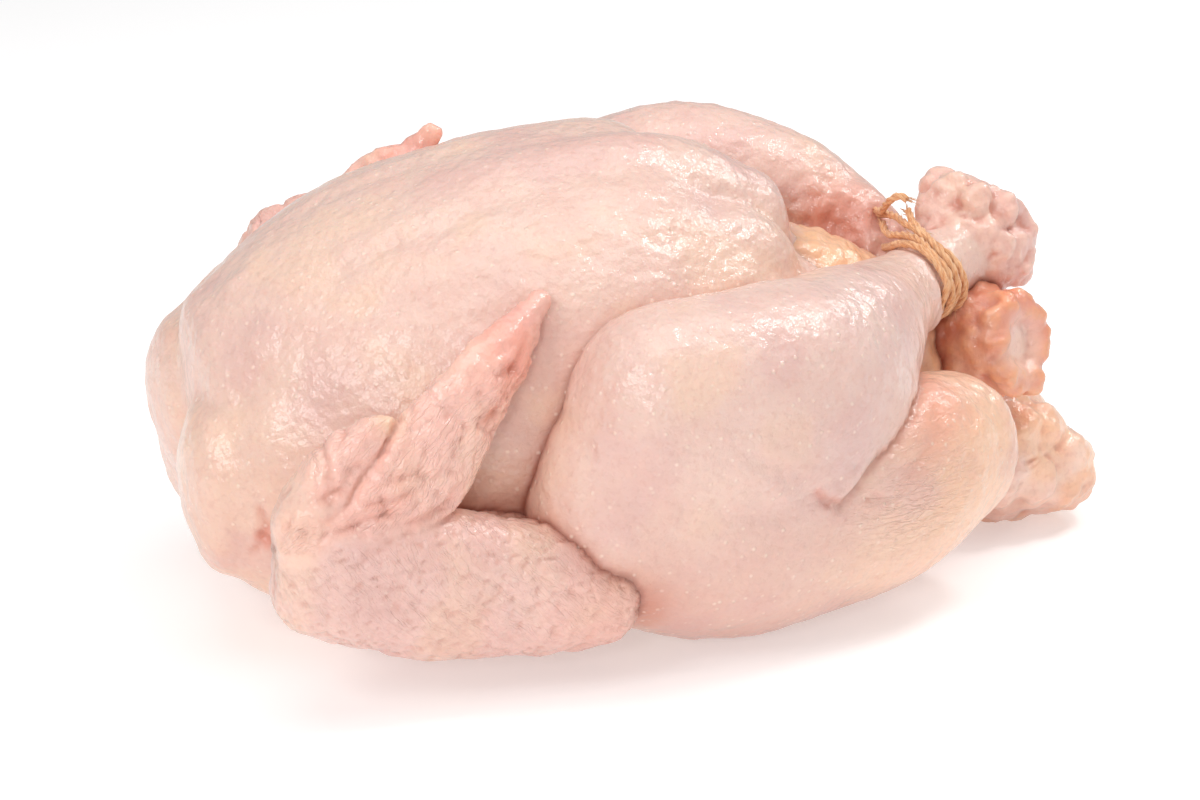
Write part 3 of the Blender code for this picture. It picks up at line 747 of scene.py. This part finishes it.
INNER = [(90, 9.5, 86.6), (88.4, 2.5, 90.4), (86.9, -6.7, 96.2), (86.6, -12.5, 99.3), (88.1, -15.5, 100.2),
         (89.4, -18.6, 100.2), (90.8, -21.8, 99.5), (92.1, -24.6, 98), (93, -26.9, 96), (93.9, -28, 93.4),
         (93.8, -28, 90), (93.4, -27.2, 86.6), (92.8, -25.4, 82.6)]
# The same turns where they run behind the hocks.
HIDDEN = [(94.5, -19, 77), (94.5, -11, 74), (94, -3, 70), (93.5, 6, 66.5), (93.2, 16, 65), (92.8, 26, 68),
          (92.4, 32, 75), (92.2, 32, 83), (92.1, 27, 89.5), (91.9, 19.7, 92.1)]
HIDDEN_INNER = [(92, -19, 76), (91.5, -10, 72), (91, 0, 68), (90.5, 10, 65), (90.5, 20, 63.5), (90, 29, 68),
                (89.8, 33, 76), (90.0, 32, 84), (90.3, 25, 91), (91, 19.7, 93.5)]
STRANDS = [LOWER + HIDDEN + OVER, INNER + HIDDEN_INNER + UPPER[-2::-1], STUB + HIDDEN[1:8]]
STRAND_STEP = 0.4
strand_lines = [through(line, step=STRAND_STEP) for line in STRANDS]

# The twine bites into the skin, which swells a little on both sides of it.
tree = KDTree(sum(len(line) for line in strand_lines))
for i, place in enumerate(np.concatenate(strand_lines).tolist()):
    tree.insert(place, i)
tree.balance()
shank_zone = np.nonzero((skin.co[:, 0] > 74) & (skin.co[:, 0] < 116) & (skin.co[:, 2] > 54))[0]
gap = np.full(len(skin.co), 99.0)
gap[shank_zone] = [tree.find(place)[2] for place in skin.co[shank_zone].tolist()]
skin.push(-0.9 * np.exp(-(gap / 1.9) ** 2) + 0.5 * np.exp(-((gap - 4.2) / 1.8) ** 2))

contact = skin.contact()
# 1 in narrow valleys and -1 on narrow crests, but weak at the soft tip of the near leg's fold.
hollow = ((skin.around(skin.co) - skin.co) * skin.normals()).sum(axis=1)
hollow = np.clip(skin.spread(hollow, 2) / 0.12, -1, 1) * (1 - 0.8 * near((37, -91, 68), (8, 7, 6)))

# Nothing reaches below the table.
settled = to_world(skin.co)
settled[:, 2] = np.maximum(settled[:, 2], CAD_LOW.z)
skin.co = to_bird(settled)


# ---------------------------------------------------------------- colour

def paint():
    """The colour of every vertex, laid on from the broad regions to the creases, with painted shade in hollows,
    at contacts and low down, and painted light on knuckle tops.
    """
    tone = np.tile(np.array([0.83, 0.575, 0.485]), (len(p), 1))

    def lay(colour, amount):
        nonlocal tone
        tone = tone * (1 - amount[:, None]) + np.array(colour) * amount[:, None]

    lay((0.84, 0.53, 0.37), 0.9 * body * near((-98, -34, 38), (34, 26, 32)))
    lay((0.84, 0.55, 0.44), 0.8 * body * near((-110, 28, 50), (22, 20, 30)))
    # Painted shade on the near flank, in the hollow between the wing and the leg.
    lay((0.68, 0.40, 0.325), 0.8 * body * near((-20, -62, 70), (44, 16, 26)))

    lay((0.84, 0.62, 0.56), 0.9 * leg * near((36, -70, 96), (44, 24, 22)))
    lay((0.74, 0.50, 0.46), 0.6 * leg * near((34, -84, 76), (24, 20, 16)))
    lay((0.75, 0.46, 0.38), 0.85 * leg * near((14, -80, 38), (52, 26, 32)))
    # Painted shadow low on the near thigh, where the elbow's end lies against it.
    lay((0.58, 0.22, 0.15), 0.75 * leg * near((-12, -92, 39), (8, 12, 11)))
    lay((1.0, 0.61, 0.38), 0.95 * part("r_thigh") * near((84, -58, 56), (34, 40, 34)))
    lay((0.92, 0.40, 0.28), 0.7 * part("r_thigh") * near((74, -66, 78), (13, 18, 9)))
    lay((0.97, 0.56, 0.38), 0.95 * part("l_thigh") * near((84, 58, 46), (34, 40, 34)))

    lay((0.84, 0.55, 0.485), 0.95 * arm)
    elbow_tips = near((-20, -86, 44), (22, 20, 18)) + near((-20, 82, 36), (22, 20, 18))
    lay((0.92, 0.49, 0.385), 0.75 * arm * elbow_tips)
    lay((0.93, 0.555, 0.465), 0.95 * hand)
    hand_ends = near((-38, -60, 110), (18, 20, 16)) + near((-40, 50, 114), (14, 14, 12))
    lay((1.0, 0.40, 0.29), 0.95 * hand * hand_ends)
    very_tips = near((-35, -56, 115), (5, 6, 6)) + near((-39, 49, 116), (5, 5, 4))
    lay((1.0, 0.70, 0.56), 0.45 * hand * (very_tips + near((-37.5, -62, 107.5), (4, 6, 5))))
    lay((0.97, 0.66, 0.44), 0.9 * (near((-80.5, -76, 97.4), (4, 5, 4)) + near((-64, 64.5, 88.5), (4, 4, 4))))

    lay((0.84, 0.51, 0.42), 0.9 * part("r_hock"))
    lay((0.76, 0.20, 0.075), 0.95 * part("l_hock"))
    # Painted shade on the far knob's shadowed left part.
    lay((0.56, 0.17, 0.09), 0.8 * part("l_hock") * near((102, -10, 66), (9, 14, 14)))
    lay((1.0, 0.76, 0.68), np.clip(1.2 * face, 0, 0.95))
    lay((1.0, 0.71, 0.58), 0.95 * tail * smoothstep(p[:, 0], 86, 110))
    orange = smoothstep(layered(p, 16, 51, 2) + 0.02 * (p[:, 0] - 116), 0.0, 0.5)
    lay((1.0, 0.56, 0.33), 0.75 * tail * orange)
    # Painted shade on the tail's low near side, close to the table.
    lay((0.62, 0.27, 0.19), 0.8 * tail * near((118, -38, 10), (26, 18, 10)))
    lay((0.93, 0.53, 0.29), 0.95 * fat)
    lay((0.84, 0.58, 0.50), 0.7 * part("l_leg"))
    lay((0.72, 0.30, 0.21), np.clip(1.1 * inner_left, 0, 1))

    blotch = layered(p, 22, 41, 3)
    lay((0.90, 0.62, 0.45), 0.42 * smoothstep(blotch, 0.05, 0.6))
    lay((0.72, 0.44, 0.41), 0.42 * smoothstep(-blotch, 0.1, 0.7))
    lay((0.70, 0.20, 0.12), np.clip(redness, 0, 0.8))

    # Darker red in narrow valleys: partly the redder skin in folds, partly painted shade.
    lay((0.66, 0.26, 0.18), 0.34 * smoothstep(hollow, 0.3, 1.0))
    lumpy = np.clip(hock - face + inner_left + 0.25 * tail, 0, 1)
    lay((0.66, 0.25, 0.18), 0.65 * lumpy * smoothstep(hollow, 0.10, 0.8))
    # Painted light: the tops of the knuckles and lumps on the hocks are lighter.
    lay((0.97, 0.66, 0.54), 0.5 * part("r_hock") * smoothstep(-hollow, 0.2, 0.9))
    lay((0.90, 0.44, 0.22), 0.5 * part("l_hock") * smoothstep(-hollow, 0.2, 0.9))

    # Painted shade: where parts touch, the colour darkens towards the line of contact, and more so low on the
    # bird.
    deep = smoothstep(-p[:, 2], -110, -70)
    lay((0.50, 0.17, 0.10), 0.6 * np.exp(-(seam / 0.9) ** 2) * np.clip(force / 3.5, 0, 1))
    touch = np.maximum(contact, 0)
    open_tip = 1 - 0.95 * hand * smoothstep(p[:, 2], 92, 104)
    lay((0.66, 0.28, 0.18), 0.75 * leg * np.exp(-(touch / 6.0) ** 2) * near((-2, -88, 38), (16, 14, 16)))
    lay((0.62, 0.26, 0.18), (0.12 + 0.36 * deep) * open_tip * np.exp(-(touch / 3.5) ** 2))
    lay((0.36, 0.10, 0.06), (0.22 + 0.63 * deep) * open_tip * np.exp(-(touch / 1.1) ** 2))
    # Painted shade: everything is darker towards the table.
    low = smoothstep(20 - (to_world(p)[:, 2] / UNIT), 0, 20)
    return tone * (1 - low[:, None] * np.array([0.16, 0.20, 0.20]))


def wrinkles():
    """How strongly fine wrinkles show, from 0 to 1."""
    below_tip = smoothstep(-p[:, 2], -112, -100)
    folds = near((66, -80, 60), (22, 20, 16)) + near((66, 80, 52), (22, 20, 16))
    shanks = near((82, -24, 96), (14, 16, 12)) + near((84, 34, 96), (14, 16, 12))
    flanks = near((-24, -62, 78), (26, 16, 22)) + near((-24, 62, 70), (26, 16, 22))
    total = 0.4 * arm + 0.56 * hand * below_tip + 0.9 * leg * folds + 0.35 * leg * shanks + 0.3 * body * flanks
    return np.clip(inner * total, 0, 1)


tone = paint()
wrinkle = wrinkles()
pores = np.clip(body + leg, 0, 1) * (1 - 0.6 * np.clip(inner_left, 0, 1)) + 0.5 * wing


# ---------------------------------------------------------------- meshes and materials

FIELDS = {"FLOAT_COLOR": "color", "FLOAT_VECTOR": "vector", "FLOAT": "value"}


def new_mesh(name, points, faces, attributes=()):
    """An object in the scene. Each attribute is its name, its kind and its values, one for each vertex."""
    mesh = bpy.data.meshes.new(name)
    mesh.from_pydata(points.tolist(), [], faces)
    for key, kind, values in attributes:
        layer = mesh.attributes.new(key, kind, "POINT")
        layer.data.foreach_set(FIELDS[kind], np.ascontiguousarray(values, np.float32).ravel())
    mesh.shade_smooth()
    mesh.update()
    piece = bpy.data.objects.new(name, mesh)
    bpy.context.scene.collection.objects.link(piece)
    return piece


class Nodes:
    """A short way to wire shader nodes."""

    def __init__(self, name):
        self.material = bpy.data.materials.new(name)
        self.material.use_nodes = True
        self.tree = self.material.node_tree
        self.shader = self.tree.nodes["Principled BSDF"]

    def plug(self, socket, value):
        if isinstance(value, bpy.types.NodeSocket):
            self.tree.links.new(value, socket)
        elif value is not None:
            socket.default_value = value

    def add(self, kind, out=0, settings=None, **inputs):
        """A new node's output. Inputs are given by name, or as i0, i1 and so on by number."""
        node = self.tree.nodes.new(kind)
        for key, value in (settings or {}).items():
            setattr(node, key, value)
        for key, value in inputs.items():
            numbered = key[0] == "i" and key[1:].isdigit()
            self.plug(node.inputs[int(key[1:]) if numbered else key.replace("_", " ")], value)
        return node.outputs[out]

    def math(self, operation, a, b=None, c=None):
        return self.add("ShaderNodeMath", settings={"operation": operation}, i0=a, i1=b, i2=c)

    def attribute(self, name, out="Fac"):
        node = self.tree.nodes.new("ShaderNodeAttribute")
        node.attribute_name = name
        return node.outputs[out]

    def mix(self, factor, a, b, blend="MIX"):
        node = self.tree.nodes.new("ShaderNodeMix")
        node.data_type = "RGBA"
        node.blend_type = blend
        self.plug(node.inputs[0], factor)
        self.plug(node.inputs[6], a)
        self.plug(node.inputs[7], b)
        return node.outputs[2]

    def ramp(self, value, low, high, to_low=0.0, to_high=1.0):
        smooth = {"clamp": True, "interpolation_type": "SMOOTHSTEP"}
        return self.add("ShaderNodeMapRange", settings=smooth, Value=value,
                        From_Min=low, From_Max=high, To_Min=to_low, To_Max=to_high)


OBJECT_PLACE = 3


def skin_material():
    """Moist raw skin: pale pore dots, fine wrinkles along the flow, goose flesh and a wet coat."""
    n = Nodes("raw_skin")
    place = n.add("ShaderNodeTexCoord", out=OBJECT_PLACE)
    flow_at = n.attribute("flow", "Vector")
    tone_at = n.attribute("tone", "Color")
    wrinkle_at = n.attribute("wrinkle")
    pores_at = n.attribute("pores")

    spots = n.add("ShaderNodeTexVoronoi", Vector=place, Scale=320.0, Randomness=0.95)
    spot = n.ramp(spots, 0.05, 0.24, 1.0, 0.0)
    thin = n.add("ShaderNodeTexNoise", Vector=place, Scale=90.0, Detail=2.0)
    spot = n.math("MULTIPLY", n.math("MULTIPLY", spot, n.ramp(thin, 0.30, 0.52)), pores_at)

    blush = n.add("ShaderNodeTexNoise", Vector=place, Scale=55.0, Detail=3.0, Roughness=0.62)
    grain = n.add("ShaderNodeTexNoise", Vector=place, Scale=620.0, Detail=2.0, Roughness=0.65)
    colour = n.mix(n.ramp(blush, 0.42, 0.72, 0.0, 0.26), tone_at, (0.70, 0.37, 0.31, 1))
    colour = n.mix(n.ramp(blush, 0.22, 0.46, 0.26, 0.0), colour, (0.93, 0.70, 0.55, 1))
    colour = n.mix(n.ramp(grain, 0.48, 0.72, 0.0, 0.20), colour, (0.62, 0.31, 0.25, 1))
    colour = n.mix(n.math("MULTIPLY", spot, 0.55), colour, (0.96, 0.76, 0.63, 1))

    streak = n.add("ShaderNodeVectorMath", settings={"operation": "MULTIPLY"}, i0=flow_at, i1=(0.16, 0.48, 0.0))
    folds = n.add("ShaderNodeTexNoise", Vector=streak, Scale=1.0, Detail=2.0, Roughness=0.6, Distortion=0.7)
    folds = n.math("ABSOLUTE", n.math("MULTIPLY_ADD", folds, 2.0, -1.0))
    folds = n.ramp(folds, 0.0, 0.28)
    goose = n.add("ShaderNodeTexVoronoi", Vector=place, Scale=400.0, Randomness=1.0)
    lumps = n.add("ShaderNodeTexNoise", Vector=place, Scale=150.0, Detail=1.5)
    fold_floor = n.math("MULTIPLY", n.math("SUBTRACT", 1.0, folds), n.math("MULTIPLY", wrinkle_at, 0.14))
    colour = n.mix(fold_floor, colour, (0.60, 0.28, 0.22, 1))

    total = n.math("MULTIPLY", spot, 0.13)
    total = n.math("MULTIPLY_ADD", n.math("MULTIPLY", folds, wrinkle_at), 0.26, total)
    total = n.math("MULTIPLY_ADD", goose, -0.22, total)
    total = n.math("MULTIPLY_ADD", lumps, 0.55, total)
    total = n.math("MULTIPLY_ADD", grain, 0.26, total)
    bump = n.add("ShaderNodeBump", Height=total, Strength=1.0, Distance=0.001)

    s = n.shader
    n.plug(s.inputs["Base Color"], colour)
    n.plug(s.inputs["Normal"], bump)
    n.plug(s.inputs["Coat Normal"], bump)
    rough = n.math("MULTIPLY_ADD", wrinkle_at, -0.06, n.ramp(blush, 0.3, 0.7, 0.30, 0.44))
    n.plug(s.inputs["Roughness"], rough)
    s.inputs["Subsurface Weight"].default_value = 0.18
    s.inputs["Subsurface Radius"].default_value = (1.0, 0.4, 0.25)
    s.inputs["Subsurface Scale"].default_value = 0.0025
    s.inputs["Coat Weight"].default_value = 0.45
    s.inputs["Coat Roughness"].default_value = 0.12
    return n.material


def twine_material():
    """Matt tan yarn with darker lines between its fibres."""
    n = Nodes("cotton_twine")
    round_at = n.attribute("round", "Vector")
    fibre = n.add("ShaderNodeVectorMath", settings={"operation": "MULTIPLY"}, i0=round_at, i1=(0.5, 3.2, 3.2))
    fibre = n.add("ShaderNodeTexNoise", Vector=fibre, Scale=1.0, Detail=3.0, Roughness=0.6)
    place = n.add("ShaderNodeTexCoord", out=OBJECT_PLACE)
    soft = n.add("ShaderNodeTexNoise", Vector=place, Scale=260.0, Detail=2.0)
    colour = n.mix(n.ramp(fibre, 0.35, 0.65), (0.74, 0.31, 0.12, 1), (0.98, 0.60, 0.34, 1))
    colour = n.mix(n.ramp(soft, 0.45, 0.7, 0.0, 0.5), colour, (0.97, 0.64, 0.38, 1))
    bump = n.add("ShaderNodeBump", Height=fibre, Strength=0.8, Distance=0.0003)
    n.plug(n.shader.inputs["Base Color"], colour)
    n.plug(n.shader.inputs["Normal"], bump)
    n.shader.inputs["Roughness"].default_value = 0.8
    n.shader.inputs["Specular IOR Level"].default_value = 0.25
    n.shader.inputs["Sheen Weight"].default_value = 0.3
    return n.material


opaque_tone = np.column_stack([np.clip(tone, 0, 1), np.ones(len(p))])
chicken = new_mesh("chicken_skin", to_world(skin.co), skin.faces.tolist(), [
    ("tone", "FLOAT_COLOR", opaque_tone), ("flow", "FLOAT_VECTOR", flow),
    ("wrinkle", "FLOAT", wrinkle), ("pores", "FLOAT", pores)])
chicken.data.materials.append(skin_material())
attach(chicken, "root")
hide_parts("chicken")


# ---------------------------------------------------------------- the twine

def carried(line):
    """Two directions square to a line that turn with it as little as they can, and the distance along it."""
    step = np.gradient(line, axis=0)
    step /= np.maximum(np.linalg.norm(step, axis=1), 1e-9)[:, None]
    first = np.cross(step[0], (0.3, 0.5, 0.81))
    across = [first / np.linalg.norm(first)]
    for t in step[1:]:
        following = across[-1] - t * (across[-1] @ t)
        across.append(following / max(np.linalg.norm(following), 1e-9))
    u = np.array(across)
    at = np.concatenate([[0.0], np.cumsum(np.linalg.norm(np.diff(line, axis=0), axis=1))])
    return u, np.cross(step, u), at


class Cords:
    """Thin round cords gathered into one mesh."""

    def __init__(self):
        self.verts, self.faces, self.rounds, self.count = [], [], [], 0

    def add(self, line, radii, sides=7, start=0.0):
        """One cord along a line. start sets its place in the yarn's pattern."""
        u, v, at = carried(line)
        angle = np.linspace(0, 2 * math.pi, sides, endpoint=False)
        c, s = np.cos(angle), np.sin(angle)
        outward = c[None, :, None] * u[:, None] + s[None, :, None] * v[:, None]
        ring = line[:, None] + radii[:, None, None] * outward
        turns = np.broadcast_to(np.stack([c, s], axis=-1), (len(line), sides, 2))
        spot = np.concatenate([np.repeat(at[:, None, None] + start, sides, axis=1), turns], axis=-1)
        self.verts += [ring.reshape(-1, 3), line[[0, -1]]]
        self.rounds += [spot.reshape(-1, 3), spot[[0, -1], 0]]
        self.faces += tube_faces(len(line), sides, self.count)
        self.count += len(line) * sides + 2

    def piece(self, name):
        """The cords as one object."""
        rounds = ("round", "FLOAT_VECTOR", np.concatenate(self.rounds))
        return new_mesh(name, to_world(np.concatenate(self.verts)), self.faces, [rounds])


def twist_plies(cords, line, plies=3, radius=0.64, reach=0.52, pitch=11.0, phase=0.0):
    """Plies wound round one another along a line."""
    u, v, at = carried(line)
    for k in range(plies):
        turn = at * 2 * math.pi / pitch + 2 * math.pi * k / plies + phase
        wobble = 0.10 * np.sin(at * 1.1 + 2.0 * k)
        ply = line + (reach + wobble)[:, None] * (np.cos(turn)[:, None] * u + np.sin(turn)[:, None] * v)
        cords.add(ply, radius * (1 + 0.08 * np.sin(at * 1.7 + k)), start=40.0 * k + phase * 9)


chance = np.random.default_rng(7)
twine_cords = Cords()
for k, line in enumerate(strand_lines):
    twist_plies(twine_cords, line, phase=1.3 * k)


def fray(cords, line, at_start, count=13, length=3.6):
    """Loose fibres that spread from a cut end."""
    end = line[0] if at_start else line[-1]
    inner = line[3] if at_start else line[-4]
    ahead = (end - inner) / np.linalg.norm(end - inner)
    for _ in range(count):
        way = ahead + chance.normal(0, 0.38, 3)
        bend = chance.normal(0, 0.5, 3)
        t = np.linspace(0, 1, 7)[:, None]
        start = end - ahead * 1.2 + chance.normal(0, 0.35, 3)
        fibre = start + way * t * length * chance.uniform(0.5, 1.0) + bend * t * t * 1.2
        cords.add(fibre, np.linspace(0.22, 0.06, 7), sides=5, start=chance.uniform(0, 50))


for index, at_start in ((0, True), (0, False), (1, False), (2, True)):
    fray(twine_cords, strand_lines[index], at_start)

# Short hairs that stand off the yarn.
for line in strand_lines:
    for _ in range(int(len(line) * 0.16)):
        i = chance.integers(6, len(line) - 6)
        along_line = line[i + 4] - line[i - 4]
        along_line /= np.linalg.norm(along_line)
        off = np.cross(along_line, chance.normal(0, 1, 3))
        off /= max(np.linalg.norm(off), 1e-6)
        t = np.linspace(0, 1, 6)[:, None]
        size = chance.uniform(1.2, 3.4)
        way = along_line * chance.choice([-1, 1]) * 0.8 + off * 0.5
        hair = line[i] + off * 1.0 + way * t * size + chance.normal(0, 0.4, 3) * t * t
        twine_cords.add(hair, np.linspace(0.10, 0.04, 6), sides=4, start=chance.uniform(0, 50))

twine = twine_cords.piece("tied_twine")
twine.data.materials.append(twine_material())
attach(twine, "root")
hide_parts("twine")


# ---------------------------------------------------------------- floor, light and camera

def flat_material(name, colour, roughness, glow):
    """A plain matt colour that glows a little."""
    n = Nodes(name)
    n.shader.inputs["Emission Color"].default_value = (1.0, 1.0, 1.0, 1.0)
    n.shader.inputs["Emission Strength"].default_value = glow
    n.shader.inputs["Base Color"].default_value = (*colour, 1.0)
    n.shader.inputs["Roughness"].default_value = roughness
    return n.material


floor_mesh = bpy.data.meshes.new("floor")
floor_mesh.from_pydata([(-4, -4, 0), (4, -4, 0), (4, 4, 0), (-4, 4, 0)], [], [(0, 1, 2, 3)])
floor = bpy.data.objects.new("floor", floor_mesh)
floor.location.z = CAD_LOW.z
floor_mesh.materials.append(flat_material("floor_white", (0.80, 0.79, 0.79), 0.8, 0.36))
bpy.context.scene.collection.objects.link(floor)

sky = bpy.data.worlds.new("studio")
sky.use_nodes = True
sky.node_tree.nodes["Background"].inputs["Color"].default_value = (1, 1, 1, 1)
sky.node_tree.nodes["Background"].inputs["Strength"].default_value = 0.385
bpy.context.scene.world = sky

MIDDLE = (CAD_LOW + CAD_HIGH) / 2


def softbox(name, place, size, power):
    """A soft lamp at a place in metres from the bird's middle, aimed at the middle."""
    data = bpy.data.lights.new(name, "AREA")
    data.shape = "RECTANGLE"
    data.size, data.size_y = size
    data.energy = power
    lamp = bpy.data.objects.new(name, data)
    lamp.location = MIDDLE + Vector(place)
    lamp.rotation_mode = "QUATERNION"
    lamp.rotation_quaternion = (-Vector(place)).to_track_quat("-Z", "Y")
    bpy.context.scene.collection.objects.link(lamp)


softbox("over", (-0.05, 0.0, 1.15), (1.0, 1.0), 4.7)
softbox("left", (-0.72, -0.43, 0.66), (0.40, 0.34), 2.6)
softbox("right", (0.52, -0.05, 0.90), (0.26, 0.22), 3.0)
softbox("rear", (0.78, 0.34, 0.56), (0.24, 0.22), 1.3)
softbox("front", (-0.46, -0.86, 0.40), (0.18, 0.16), 1.7)

scene = bpy.context.scene
scene.view_settings.view_transform = "Standard"
AZIMUTH, ELEVATION = math.radians(-17.0), math.radians(20.0)
LENS, SENSOR_WIDTH = 95.0, 36.0
VIEW_WIDTH = 351.9
FOOT_TO_AIM_RIGHT, FOOT_TO_AIM_UP = -0.587, 48.97
FOOT_TOWARD_CAMERA = 17.0
toward = Vector((math.sin(AZIMUTH), -math.cos(AZIMUTH), 0.0)) * math.cos(ELEVATION)
back = toward + Vector((0.0, 0.0, math.sin(ELEVATION)))
right = Vector((math.cos(AZIMUTH), math.sin(AZIMUTH), 0.0))
up = back.cross(right)
foot = Vector(to_world([(0.0, 0.0, 0.0)])[0]) - Vector((0.0, FOOT_TOWARD_CAMERA * UNIT, 0.0))
aim = foot + (right * FOOT_TO_AIM_RIGHT + up * FOOT_TO_AIM_UP) * UNIT
lens = bpy.data.cameras.new("camera")
lens.lens = LENS
lens.sensor_width = SENSOR_WIDTH
camera = bpy.data.objects.new("camera", lens)
camera.location = aim + back * (VIEW_WIDTH * LENS / SENSOR_WIDTH) * UNIT
camera.rotation_mode = "QUATERNION"
camera.rotation_quaternion = (-back).to_track_quat("-Z", "Y")
scene.collection.objects.link(camera)
scene.camera = camera
